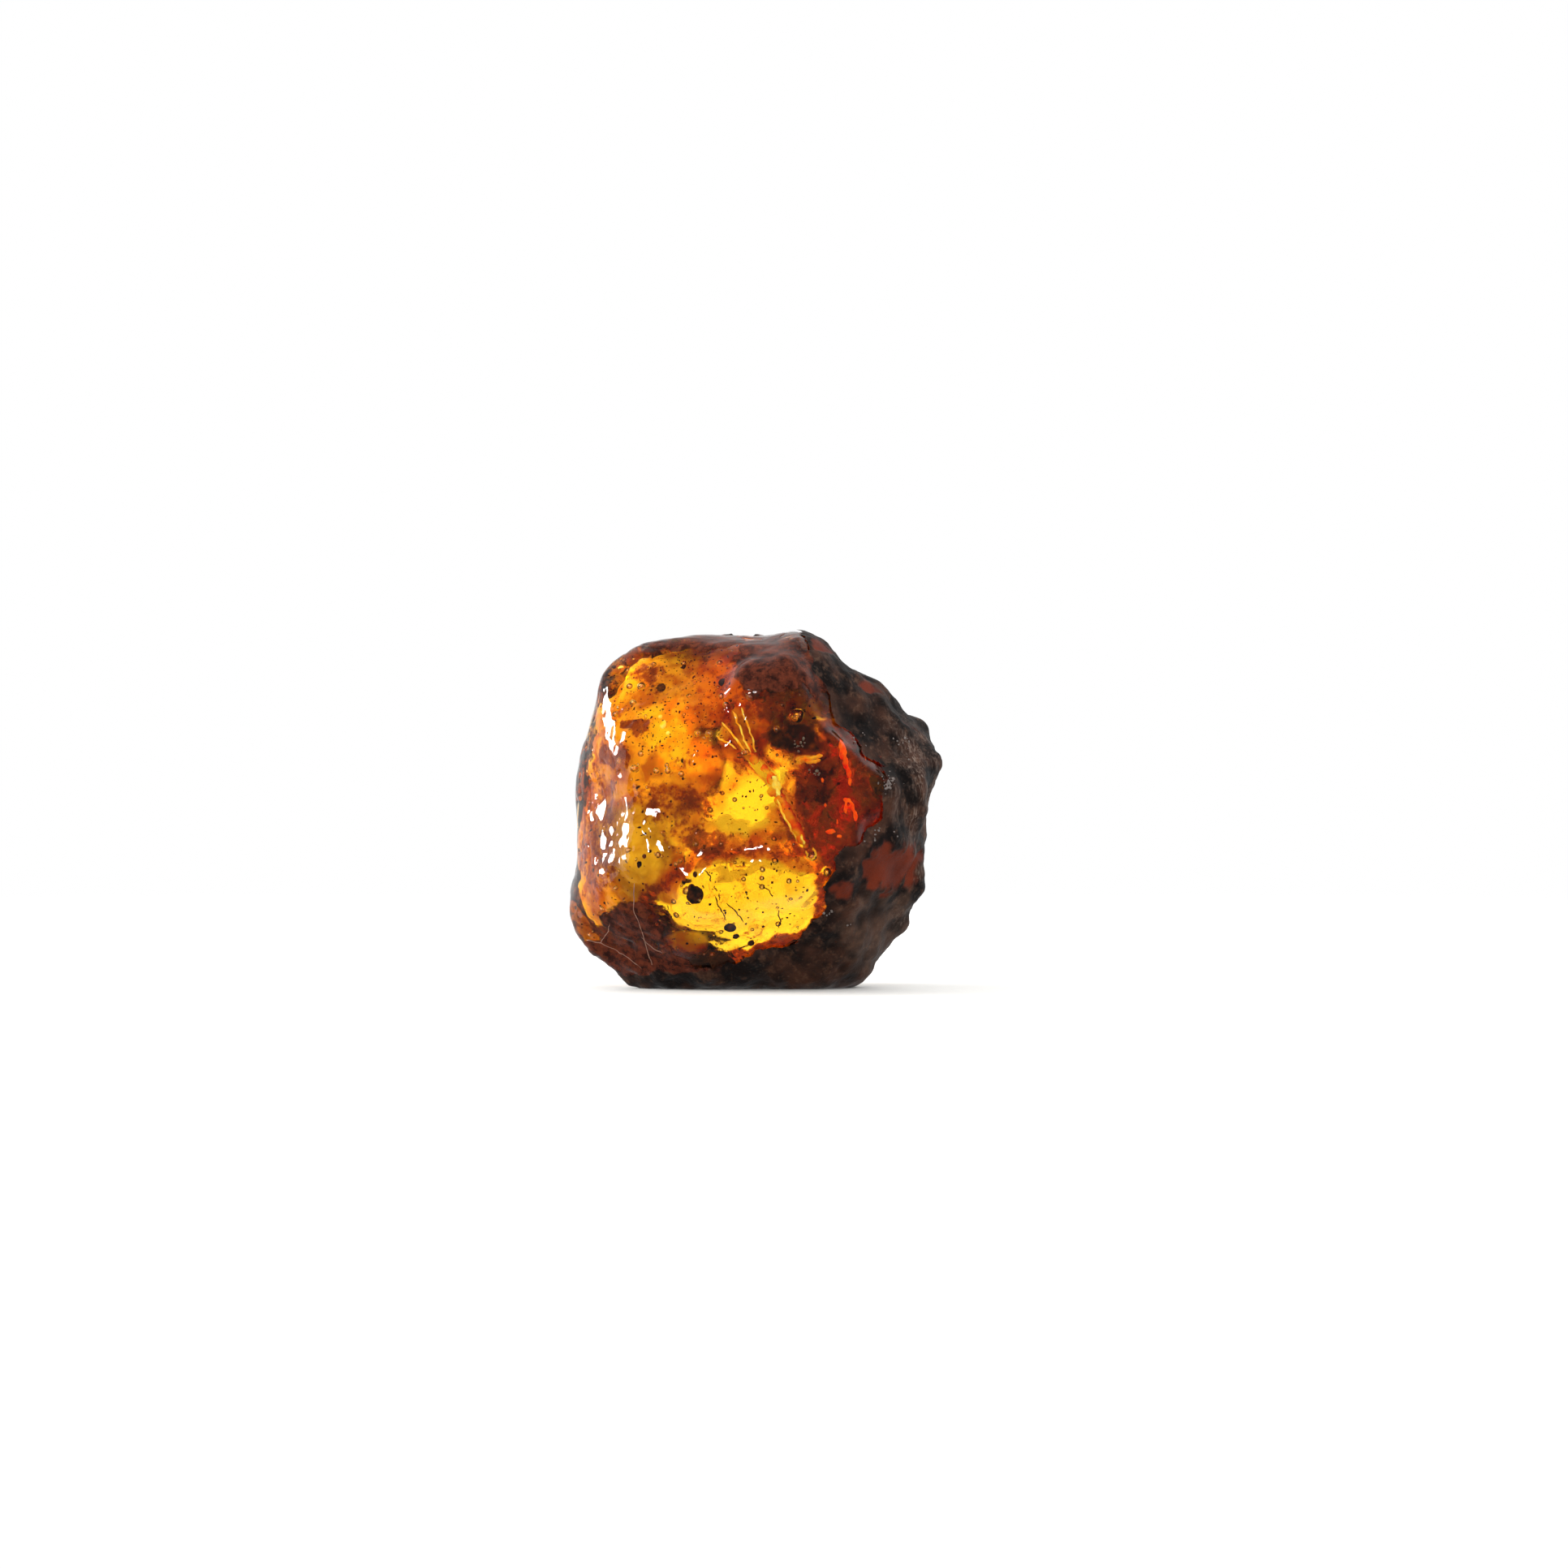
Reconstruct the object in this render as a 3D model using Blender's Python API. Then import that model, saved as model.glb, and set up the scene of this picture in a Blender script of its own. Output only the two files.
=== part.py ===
"""A raw amber nugget: one lump of fossil resin, glassy and wavy on its left, rough and knobbly on its right.

Blender 4.5, metres, +Z up. Run it with: blender --background --python part.py

The nugget rests on a worn flat at Z = 0. Its broad face looks along -Y. The whole lump is one closed solid,
made as a ball of square faces whose points are pushed out to a body worked out from the sizes below, in
millimetres. The sizes are laid out about CENTRE, and the finished lump is then moved so that its footprint's
middle is over the origin.
"""

import math

import bmesh
import bpy
from mathutils import Vector, noise

NAME = "amber_nugget"
MM = 0.001

# The body ---------------------------------------------------------------------------------------------------

# The widest contour seen from the front, as (X, Z) in mm. It starts at the low left corner and runs
# clockwise, and dips below Z = 0 along the bottom, where the worn flat cuts it off.
CONTOUR = [
    (-8.9, -0.6), (-9.5, 0.5), (-10.1, 1.6), (-10.8, 2.9), (-11.4, 4.4), (-11.3, 5.8), (-10.8, 7.4),
    (-10.9, 9.4), (-11.2, 11.6), (-11.0, 13.6), (-10.1, 15.6), (-9.5, 17.2), (-9.3, 18.6), (-8.9, 19.8),
    (-7.8, 20.7), (-6.0, 21.3), (-4.4, 21.6), (-2.0, 21.7), (0.5, 21.6), (2.6, 21.8), (3.8, 21.2),
    (5.1, 20.0), (6.6, 18.8), (8.3, 17.8), (9.4, 16.5), (10.5, 15.1), (10.9, 13.6), (10.6, 12.0),
    (10.2, 10.4), (10.2, 8.6), (9.9, 6.6), (9.6, 4.8), (8.8, 3.4), (8.0, 1.9), (6.8, 0.8), (4.8, -0.3),
    (2.4, -0.9), (-1.0, -1.2), (-4.8, -1.2),
]
CENTRE = Vector((0.0, 0.0, 11.0))  # the middle of the body, which every point is pushed out from
FRONT_DEPTH = 7.3  # from the centre to the front, along -Y
BACK_DEPTH = 8.4
SQUARENESS = 2.5  # 2 rounds the front and back like an egg, more makes them flatter

GRID = 28  # faces along each side of the six square patches of the ball

# Broad faces that the lump broke or wore along, as (outward direction, distance from the centre in mm).
FLATS = [
    ((-0.05, -0.99, 0.08), 6.6),  # broad front
    ((-0.30, -0.80, 0.52), 8.3),  # front, upper left
    ((-0.86, -0.50, 0.05), 9.7),  # left side
    ((-0.40, -0.75, -0.53), 9.1),  # front, lower left
    ((0.62, -0.62, 0.45), 8.7),  # front, upper right
    ((0.70, -0.60, -0.38), 9.1),  # front, lower right
    ((0.10, -0.75, -0.65), 8.5),  # front, underside
    ((0.12, 0.98, 0.10), 7.5),  # broad back
    ((-0.62, 0.70, 0.34), 8.8),  # back, left
    ((0.55, 0.78, -0.28), 8.7),  # back, lower right
    ((0.18, 0.66, 0.72), 9.4),  # back, top
    ((-0.50, 0.66, -0.55), 9.6),  # back, lower left
]
FLAT_EDGE = 0.9  # how far an edge between flats is worn round, in mm
BASE_EDGE = 0.7  # the same for the edge of the flat that the nugget rests on
FLAT_FACING = 0.2  # a flat is only looked for where its direction and the point's are closer than this cosine

# Forms on the body ------------------------------------------------------------------------------------------

# Rounded forms, as (X, Y, Z of the middle, radius, height), in mm. A height below 0 is a hollow or a pit.
LUMPS = [
    (1.4, -6.4, 19.2, 3.4, 0.6),  # shoulder under the top edge
    (-3.2, -7.2, 13.6, 2.4, 0.45),  # knoll in the middle of the glassy face
    (-7.6, -6.2, 17.2, 2.6, 0.35),
    (-6.4, -6.4, 9.2, 3.4, 0.35),
    (-9.8, -3.2, 12.0, 2.2, -0.35),  # dish in the left side
    (-2.2, -7.0, 5.4, 3.4, 0.3),
    (5.4, -6.2, 12.2, 3.0, -0.6),  # hollow beside the seam
    (11.3, -0.8, 13.9, 1.8, 0.6),  # knobs along the right rim
    (9.9, -3.4, 15.4, 2.0, 0.5),
    (8.6, -5.0, 13.0, 1.8, 0.55),
    (10.5, 0.4, 9.0, 1.8, 0.35),
    (10.2, -0.6, 6.4, 1.7, 0.4),
    (9.2, 0.4, 4.2, 1.8, 0.4),
    (8.3, -4.6, 6.2, 2.2, 0.6),
    (6.8, -4.6, 2.8, 2.1, 0.5),
    (11.0, -1.2, 11.7, 1.4, -0.4),  # notches between the knobs
    (10.6, -1.0, 7.7, 1.2, -0.3),
    (8.4, -2.2, 2.4, 1.3, -0.35),
    (7.2, -5.6, 9.8, 1.5, -0.5),  # pits in the rough side
    (5.6, -5.8, 17.2, 1.6, -0.55),
    (3.6, -5.8, 3.4, 1.6, -0.45),
    (-3.6, 7.2, 14.4, 3.2, 0.6),  # swellings and dishes of the back
    (4.6, 6.6, 9.0, 3.0, 0.55),
    (-4.2, 7.0, 6.2, 2.4, -0.6),
    (2.0, 7.2, 15.8, 2.2, -0.6),
    (7.4, 4.2, 14.6, 2.1, 0.55),
    (-8.2, 4.6, 10.2, 2.2, 0.45),
    (6.4, 5.0, 4.2, 2.0, 0.5),
    (0.6, 4.2, 20.6, 2.0, 0.2),
]

# Ledges of the front, where one flow of resin stopped on top of another. Each is a line of (X, Z) in mm, how
# far its left-hand side stands out, how wide its face is and how far back from the line it stays raised.
LEDGES = [
    ([(3.6, 8.4), (2.5, 10.2), (1.3, 12.5), (-0.2, 14.3), (-1.3, 16.6)], 0.65, 0.9, 4.5),  # the seam
    ([(0.2, 20.6), (-1.0, 19.1), (-2.0, 16.8)], 0.6, 0.9, 4.0),  # left edge of the shoulder
    ([(4.4, 7.3), (1.0, 8.3), (-2.5, 8.2), (-5.6, 6.6)], 0.45, 1.0, 4.0),  # top of the lower flow
]
LEDGE_END = 1.6  # a ledge dies away over this length at each end, in mm
# Ridges of the rough side, each a line of (X, Y, Z), a radius and a height, in mm.
RIDGES = [
    ([(6.6, -5.2, 17.6), (8.6, -4.2, 15.6), (9.8, -3.2, 13.2), (10.2, -2.6, 10.6)], 1.1, 0.6),
    ([(4.6, -6.0, 15.2), (6.6, -5.8, 14.2), (7.8, -5.2, 12.0)], 1.0, 0.45),
    ([(9.6, -2.6, 8.0), (8.8, -3.8, 5.6), (7.0, -4.6, 4.2)], 1.1, 0.45),
    ([(9.4, 2.0, 15.6), (9.8, 3.0, 12.0), (9.0, 4.0, 8.6)], 1.3, 0.5),
]

# Waves in the resin, as (wavelength, height) in mm.
WAVES = [(7.0, 0.55), (3.1, 0.2)]

# The rough side: knobs a little over the size of the faces, on the right, the underside and most of the back.
KNOB_SIZE = 2.4
KNOB_HEIGHT = 0.75
CREASE_SIZE = 1.2  # finer creases on the knobs
CREASE_SHARE = 0.4
KNOB_LEVEL = 0.15  # taken off, so that the knobs neither swell nor shrink the lump
BORDER_WANDER = 1.6  # how far the rough side's border wanders
BORDER_WAVE = 4.0
ROUGH_RIGHT = (4.2, 7.2)  # X where the rough side begins and where it is full
ROUGH_UNDER = (3.4, 1.2)  # the same for Z at the underside
ROUGH_BEHIND = (2.5, 5.5)  # the same for Y at the back
BEHIND_WANDER = 2  # the border wanders this many times more at the back
BEHIND_SHARE = 0.8  # the back is a little less rough than the right side

AMBER = (0.72, 0.27, 0.02, 1.0)


def contour_radii():
    """The contour as (angle, distance from the centre), in order of angle."""
    points = [(x - CENTRE.x, z - CENTRE.z) for x, z in CONTOUR]
    return sorted((math.atan2(z, x), math.hypot(x, z)) for x, z in points)


def contour_radius(angle, radii):
    """The contour's distance from the centre at an angle, on a smooth curve through its points."""
    count = len(radii)
    after = next((i for i, (a, _) in enumerate(radii) if a > angle), count)
    ring = [radii[(after + k) % count] for k in (-2, -1, 0, 1)]
    start, end = ring[1][0], ring[2][0]
    span = (end - start) % math.tau
    t = ((angle - start) % math.tau) / span
    r0, r1, r2, r3 = (r for _, r in ring)
    return r1 + 0.5 * t * (r2 - r0 + t * (2 * r0 - 5 * r1 + 4 * r2 - r3 + t * (3 * (r1 - r2) + r3 - r0)))


def smooth_step(low, high, value):
    t = min(max((value - low) / (high - low), 0.0), 1.0)
    return t * t * (3 - 2 * t)


def smooth_min(a, b, width):
    """The lesser of a and b, rounded over where they meet."""
    share = max(width - abs(a - b), 0.0) / width
    return min(a, b) - share * share * width / 4


def nearest_on_line(point, line):
    """The gap from a point to a line of points, on which side the point is (above 0 for the left hand) and how
    far the line's nearer end is, measured along the line."""
    pieces = [(start, end - start) for start, end in zip(line, line[1:])]
    length = sum(along.length for _, along in pieces)
    gap, side, position, passed = math.inf, 0.0, 0.0, 0.0
    for start, along in pieces:
        to_point = point - start
        share = min(max(to_point.dot(along) / along.length_squared, 0.0), 1.0)
        distance = (to_point - share * along).length
        if distance < gap:
            gap = distance
            side = along.x * to_point.y - along.y * to_point.x
            position = passed + share * along.length
        passed += along.length
    return gap, side, min(position, length - position)


def body_radius(way, radii):
    """How far the worn body reaches from the centre in a direction, before its lumps and waves."""
    across = math.hypot(way.x, way.z) / contour_radius(math.atan2(way.z, way.x), radii)
    along = abs(way.y) / (FRONT_DEPTH if way.y < 0 else BACK_DEPTH)
    reach = (across**SQUARENESS + along**SQUARENESS) ** (-1 / SQUARENESS)
    for normal, distance in FLATS:
        facing = way.dot(Vector(normal).normalized())
        if facing > FLAT_FACING:
            reach = smooth_min(reach, distance / facing, FLAT_EDGE)
    return reach


def roughness(point):
    """1 on the rough side, 0 on the glassy one, with a wandering border."""
    wander = BORDER_WANDER * noise.noise(point / BORDER_WAVE)
    right = smooth_step(*ROUGH_RIGHT, point.x + wander)
    under = smooth_step(*ROUGH_UNDER, point.z + wander)
    behind = smooth_step(*ROUGH_BEHIND, point.y + BEHIND_WANDER * wander)
    return max(right, under, BEHIND_SHARE * behind)


def ledge_height(point, ledge):
    """How far a flow of resin stands out at a point of the front."""
    line, step, face, reach = ledge
    gap, side, to_end = nearest_on_line(Vector((point.x, point.z)), [Vector(p) for p in line])
    edge = smooth_step(-face / 2, face / 2, math.copysign(gap, side))
    return step * edge * smooth_step(reach, 0.0, gap) * smooth_step(0.0, LEDGE_END, to_end)


def ridge_height(point, ridge):
    line, radius, height = ridge
    gap, _, _ = nearest_on_line(point, [Vector(p) for p in line])
    near = max(1 - (gap / radius) ** 2, 0.0)
    return height * near * near


def relief(point):
    """Everything that stands out of the worn body at a point of it, in mm."""
    height = sum(ridge_height(point, ridge) for ridge in RIDGES)
    if point.y < 0:
        height += sum(ledge_height(point, ledge) for ledge in LEDGES)
    for x, y, z, radius, tall in LUMPS:
        near = 1 - (point - Vector((x, y, z))).length_squared / (radius * radius)
        if near > 0:
            height += tall * near * near
    for wavelength, tall in WAVES:
        height += tall * noise.noise(point / wavelength)
    knobs = abs(noise.noise(point / KNOB_SIZE)) + CREASE_SHARE * noise.noise(point / CREASE_SIZE)
    return height + KNOB_HEIGHT * (knobs - KNOB_LEVEL) * roughness(point)


def surface_point(way, radii):
    """The nugget's surface in a direction from its centre, in mm."""
    reach = body_radius(way, radii)
    reach += relief(CENTRE + way * reach)
    if way.z < 0:
        reach = smooth_min(reach, CENTRE.z / -way.z, BASE_EDGE)
    return CENTRE + way * reach


def ball_of_squares(bm):
    """A ball of six square patches, each a grid of GRID by GRID faces."""
    bmesh.ops.create_cube(bm, size=2)
    bmesh.ops.subdivide_edges(bm, edges=bm.edges[:], cuts=GRID - 1, use_grid_fill=True)
    for vert in bm.verts:
        # The tangent spreads the faces evenly over the ball.
        vert.co = Vector(math.tan(c * math.pi / 4) for c in vert.co).normalized()


def centre_footprint(bm):
    """Moves the lump so that the middle of its width and depth is over the origin."""
    xs = [vert.co.x for vert in bm.verts]
    ys = [vert.co.y for vert in bm.verts]
    middle = Vector((min(xs) + max(xs), min(ys) + max(ys), 0.0)) / 2
    bmesh.ops.translate(bm, verts=bm.verts[:], vec=-middle)


def amber_material():
    material = bpy.data.materials.new("amber")
    material.use_nodes = True
    shader = material.node_tree.nodes["Principled BSDF"]
    shader.inputs["Base Color"].default_value = AMBER
    shader.inputs["Roughness"].default_value = 0.25
    shader.inputs["Metallic"].default_value = 0.0
    shader.inputs["IOR"].default_value = 1.54
    return material


def amber_nugget():
    radii = contour_radii()
    mesh = bpy.data.meshes.new(NAME)
    bm = bmesh.new()
    ball_of_squares(bm)
    for vert in bm.verts:
        vert.co = surface_point(vert.co.normalized(), radii) * MM
    centre_footprint(bm)
    bmesh.ops.recalc_face_normals(bm, faces=bm.faces[:])
    bm.to_mesh(mesh)
    bm.free()
    mesh.shade_smooth()
    mesh.materials.append(amber_material())
    nugget = bpy.data.objects.new(NAME, mesh)
    bpy.context.scene.collection.objects.link(nugget)
    return nugget


def main():
    for obj in list(bpy.data.objects):
        bpy.data.objects.remove(obj)
    amber_nugget()


main()
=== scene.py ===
"""Looks of a raw amber nugget: clear, glossy resin under a weathered crust.

Tinted flows, milky clouds, soil, specks, hairs and gas bubbles are sealed inside it.

Places and sizes are in millimetres, but for the studio's, which are in metres. X runs to the right, Y
away from the broad front and Z up from the flat that the nugget rests on. A place given as (X, Z) is
where the thing shows from the broad front.
"""
import math
import random

import bmesh
import bpy
import numpy as np
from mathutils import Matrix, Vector, noise
from mathutils.bvhtree import BVHTree


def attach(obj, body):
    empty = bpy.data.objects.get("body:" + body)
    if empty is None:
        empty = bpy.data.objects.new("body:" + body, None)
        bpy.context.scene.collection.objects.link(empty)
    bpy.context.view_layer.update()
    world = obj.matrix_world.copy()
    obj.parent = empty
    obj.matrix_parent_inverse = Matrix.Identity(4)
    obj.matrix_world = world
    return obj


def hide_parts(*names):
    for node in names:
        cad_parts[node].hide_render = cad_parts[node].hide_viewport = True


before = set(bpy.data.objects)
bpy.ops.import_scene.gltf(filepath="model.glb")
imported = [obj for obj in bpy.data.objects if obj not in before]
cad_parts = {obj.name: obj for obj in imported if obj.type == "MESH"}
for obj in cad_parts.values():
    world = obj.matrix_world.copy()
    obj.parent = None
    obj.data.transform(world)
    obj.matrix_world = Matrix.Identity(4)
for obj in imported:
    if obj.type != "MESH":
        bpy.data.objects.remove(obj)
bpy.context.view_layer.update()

MM = 0.001
RESIN_IOR = 1.54

# The resin's surface and its crust -----------------------

SURFACE_FACE = 0.29  # size of the surface's faces before they are halved
SMOOTHING = 3
SWELLS = [(1.9, 0.10), (0.7, 0.03)]  # waves of the bare resin, as (size, height)
LEFT_RIPPLES = (1.1, 0.05)  # finer ones on the left side, which break up its reflections
LEFT_PITS = (0.55, 0.06)  # shallow pits among them, as (size, depth)
LEFT_FROM = (-4.0, -7.5)  # X where those begin and where they are full
# Chipped places, whose small faces glint, as (X, Z, half width, half height), and their (size, height).
CHIPPED = [
    (-3.4, 14.1, 0.8, 0.6), (-8.3, 6.8, 1.5, 2.2), (-8.2, 15.9, 0.9, 0.7), (-1.2, 16.8, 0.8, 0.6),
]
CHIPS = (0.6, 0.10)
CRUST_LIFT = 0.04  # the crust stands on the resin by this much at least
CRUST_BED = 0.16  # its further thickness between knobs and dishes
MOST_CRUST = 1.0  # more than its thickness anywhere
CRUST_KNOBS = (1.7, 0.34)  # its knobs and dishes, as (size, height)
CRUST_GRAIN = (0.45, 0.05)  # its fine grain
CRUST_FIBRES = (0.45, 0.02, (1.0, 1.0, 4.0))  # fibres on its rim, as (width, height, stretch)
RIM_RIGHT = (7.4, 9.4)  # X where the rim begins and where it is full
RIM_UP = (2.5, 5.0)  # the same for Z
SILT = (7.6, 3.4, 2.4, 2.8)  # where pale silt is caked on, as (X, Z, half width, half height)
BASE_GAP = 0.08  # the resin ends this far above what the nugget rests on, where crust covers it

# The crust's edge on the front, from the top round to the low left: crust to the right of it and below it.
CRUST_EDGE = [
    (2.6, 23.0), (3.3, 20.8), (3.4, 19.4), (4.6, 17.9), (5.2, 16.4), (6.2, 15.4), (7.4, 14.0),
    (7.8, 12.4), (7.4, 10.6), (6.3, 9.3), (5.0, 8.0), (4.4, 6.6), (4.1, 5.0), (3.2, 3.6), (1.4, 2.7),
    (-0.8, 2.1), (-3.4, 1.4), (-6.2, 1.0), (-9.6, 0.8), (-12.0, 0.6),
]
CRUST_EDGE_SOFT = 0.9
CRUST_EDGE_WANDER = 0.9
CRUST_RIGHT = (6.3, 7.1)  # X where the crust of the back begins and where it is full
CRUST_UNDER = (1.1, 0.4)  # the same for Z at the underside
BACK_FROM = (0.5, 2.5)  # Y where the front's pattern gives way to the back's
# Places on the back without flakes of crust, where light comes in, as (X, Z, half width, half height).
BARE_BACK = [
    (4.9, 11.6, 3.4, 4.0), (3.9, 17.2, 1.4, 1.2), (-1.5, 5.6, 7.0, 5.0), (0.4, 11.4, 3.2, 2.8),
    (-6.6, 16.4, 3.6, 3.2), (-9.2, 19.0, 3.2, 4.0), (-11.5, 10.0, 3.2, 9.0),
]
# Places where the crust is worn thin, down to dark red resin, as (X, Z, half width, half height).
WORN_THIN = [
    (8.2, 7.6, 1.7, 1.3), (5.3, 6.2, 0.6, 0.5), (7.3, 18.6, 0.9, 0.6), (4.2, 21.0, 0.9, 0.5),
    (9.6, 16.2, 0.6, 0.5),
]
# Dark stained skin on the resin, as (X, Z, half width, half height, how thick).
STAINED_SKIN = [
    (1.0, 19.9, 2.5, 1.9, 0.85), (3.9, 19.4, 1.5, 1.5, 1.0), (-3.6, 21.3, 3.2, 0.6, 0.9),
    (-7.6, 3.8, 2.1, 1.5, 1.0), (-9.2, 2.2, 1.6, 0.9, 0.9), (-6.6, 1.3, 2.8, 1.2, 0.95),
    (-2.6, 1.0, 2.4, 0.5, 0.7),
]

# Tints and stains a little under the surface -------------

STAIN_DEPTH = 0.55
STAIN_FACE = 0.17  # size of the faces of the stained layer
# Flows of clear, bright resin, as outlines.
LOWER_FLOW = [
    (-6.3, 5.4), (-5.2, 6.1), (-4.2, 7.2), (-2.6, 8.1), (-0.6, 8.3), (1.0, 8.1), (2.6, 7.5), (3.9, 7.1),
    (3.8, 5.6), (3.4, 3.9), (2.2, 3.3), (0.2, 2.7), (-1.5, 2.1), (-3.2, 2.4), (-4.9, 2.4), (-5.5, 3.7),
]
CENTRE_FLOW = [
    (-2.75, 10.4), (-1.5, 11.9), (-0.7, 12.9), (0.6, 13.3), (1.8, 12.6), (2.0, 11.7), (1.4, 11.2),
    (0.8, 10.8), (1.1, 10.1), (0.1, 9.8), (-0.5, 9.3), (-1.4, 9.4), (-2.2, 9.5),
]
# Bright streaks, each a line, its half width and how clear it is.
STREAKS = [
    ([(-1.2, 16.9), (-0.6, 15.6), (-0.2, 14.4), (0.5, 13.6), (1.1, 13.2)], 0.24, 1.0),  # seam, upper half
    ([(-1.9, 16.2), (-1.2, 15.3), (-0.4, 14.3)], 0.12, 0.8),
    ([(-0.8, 17.1), (-0.3, 16.0), (0.0, 14.9)], 0.12, 0.8),
    ([(1.5, 12.0), (2.1, 10.9), (2.6, 10.0)], 0.26, 0.9),  # seam, lower half
    ([(2.7, 9.8), (3.1, 8.9)], 0.3, 1.0),
    ([(5.4, 15.0), (5.5, 14.2), (5.9, 13.4), (5.9, 12.8)], 0.22, 0.6),  # flame in the red
    ([(6.1, 11.6), (5.7, 11.2), (6.0, 10.8), (6.2, 10.4)], 0.14, 0.55),
    ([(2.7, 14.0), (3.4, 14.1), (4.2, 14.25)], 0.17, 0.75),  # sliver
]
# Bright spots, as (X, Z, half width, half height, how clear).
SPOTS = [
    (1.35, 12.45, 0.6, 0.9, 1.0), (-5.6, 16.3, 0.5, 0.9, 1.0), (-4.9, 15.4, 1.2, 0.7, 0.9),
    (-8.7, 20.5, 0.7, 0.5, 0.9), (-6.9, 20.7, 1.2, 0.35, 0.8), (-8.9, 19.3, 0.4, 0.7, 0.9),
    (-2.6, 15.4, 0.9, 0.5, 0.8), (-0.3, 15.9, 0.6, 0.9, 0.5), (3.7, 17.2, 0.9, 0.6, 0.6),
    (4.4, 7.25, 0.3, 0.3, 0.9), (-6.8, 18.5, 0.4, 0.35, 0.9), (-2.4, 13.2, 1.1, 0.7, 0.5),
    (-8.0, 13.2, 0.6, 0.6, 0.5), (-2.9, 0.95, 0.5, 0.5, 0.7), (-6.8, 8.7, 1.5, 2.2, 0.85),
]
# Red resin, as (X, Z, half width, half height, how deep the red).
REDDENED = [
    (5.6, 11.6, 3.4, 4.6, 1.0), (3.4, 11.2, 1.3, 2.4, 0.9), (0.9, 9.0, 2.8, 0.9, 0.75),
    (3.0, 15.2, 2.2, 1.2, 0.8), (3.2, 5.6, 1.2, 2.6, 0.4),
]
# Brown mottling, as (X, Z, half width, half height, how dense).
MOTTLED = [
    (-5.2, 11.0, 3.0, 2.4, 0.38), (-7.0, 19.4, 1.2, 0.6, 0.45), (-7.2, 16.2, 0.8, 0.6, 0.8),
    (-8.6, 14.2, 0.9, 0.8, 0.6), (-4.2, 18.4, 4.2, 2.4, 0.22), (-2.6, 9.2, 1.5, 0.7, 0.75),
    (-0.6, 14.0, 1.6, 1.4, 0.22), (2.6, 15.3, 2.1, 0.9, 1.0), (0.6, 17.8, 1.9, 1.6, 0.55),
    (4.6, 8.9, 2.2, 1.0, 0.55), (3.6, 12.4, 1.2, 1.5, 0.9), (6.7, 13.6, 1.4, 2.0, 0.6),
    (5.4, 11.4, 3.0, 3.6, 0.42), (-4.0, 14.2, 2.6, 1.4, 0.26), (-9.8, 10.0, 1.3, 4.8, 0.42),
    (-5.9, 6.0, 0.9, 1.2, 0.5), (0.8, 2.2, 3.2, 0.7, 0.7), (4.3, 6.0, 0.7, 1.6, 0.6),
    (4.0, 14.4, 0.9, 0.6, 0.9),
]
BACK_MOTTLED = 0.16  # how dense the mottling is at the back, where light comes in
BACK_ORANGE = 0.2  # how strong the orange tint is there
SCALLOP = (0.8, 0.5)  # lobes of the clear flows' edges, as (size, depth)
FRINGE = (-0.4, 0.45)  # the orange and red fringe round the lower flow, as (middle, half width)
BESIDE_STREAKS = 0.26  # half width of the same fringe beside a streak

# Bodies inside -------------------------------------------

# Each is a list of lumps, as (X, Z, depth under the surface, (half sizes)).
CHERRY_FLOW = [
    (4.1, 11.3, 3.0, (1.5, 1.8, 2.2)), (5.8, 11.5, 3.2, (2.5, 2.4, 3.0)),
    (5.6, 9.2, 3.2, (2.1, 2.4, 1.4)), (5.4, 14.0, 2.8, (1.6, 2.0, 1.4)),
]
CORE_DEPTH = 1.7  # the cloudy core lies this deep
CORE_LUMPS = (2.2, 0.7)  # its own lumps, as (size, height)
CORE_FACES = (0.4, 0.3)  # size of its faces before and after it is shrunk
BACK_CLOUDS = 0.9  # how cloudy it is at the back
# Where the core is cloudy behind the front, as (X, Z, half width, half height, how cloudy).
HONEY = [
    (-6.4, 18.6, 4.6, 3.6, 1.0), (-9.4, 11.0, 3.4, 6.5, 1.0), (-4.6, 13.4, 2.8, 2.2, 0.85),
    (-1.2, 18.0, 3.0, 2.6, 0.8), (-5.0, 7.2, 0.9, 1.7, 1.0), (-4.2, 3.2, 1.3, 0.9, 0.9),
    (-8.0, 4.0, 2.4, 3.0, 0.5), (-0.6, 14.9, 1.5, 1.2, 0.8), (-4.8, 10.6, 1.8, 1.8, 0.6),
]
OLIVE = [(-6.8, 8.7, 1.9, 2.7, 1.0), (3.6, 17.2, 1.0, 0.9, 0.7), (-1.6, 16.4, 1.6, 0.8, 0.4)]
YELLOW = [
    (-5.2, 15.8, 1.6, 1.4, 0.9), (-8.4, 20.2, 1.4, 0.9, 0.9), (-3.6, 14.0, 2.0, 0.9, 0.7),
    (-6.9, 18.4, 0.8, 0.5, 0.7),
]
# Gaps in the clouds, where light from behind comes straight through.
CORE_GAPS = [(1.35, 12.4, 0.6, 0.9)]
# The crack under the seam, from its top to its foot, painted bright: its colour is a painted glow that
# stands in for the light running along it.
SEAM_GLOW = [
    (-0.3, 14.7, 1.0, (0.2, 0.12, 0.45)), (0.1, 14.1, 1.0, (0.28, 0.12, 0.4)),
    (0.7, 13.5, 1.0, (0.35, 0.14, 0.35)), (1.1, 12.9, 1.0, (0.38, 0.16, 0.45)),
    (1.4, 12.3, 1.0, (0.42, 0.2, 0.5)), (1.7, 11.7, 1.0, (0.36, 0.14, 0.45)),
    (2.0, 11.1, 1.0, (0.34, 0.14, 0.45)), (2.3, 10.5, 1.0, (0.34, 0.14, 0.45)),
    (2.6, 9.9, 1.0, (0.34, 0.14, 0.45)), (2.9, 9.4, 1.0, (0.34, 0.14, 0.4)),
    (3.2, 8.9, 1.0, (0.32, 0.14, 0.35)),
]
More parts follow.
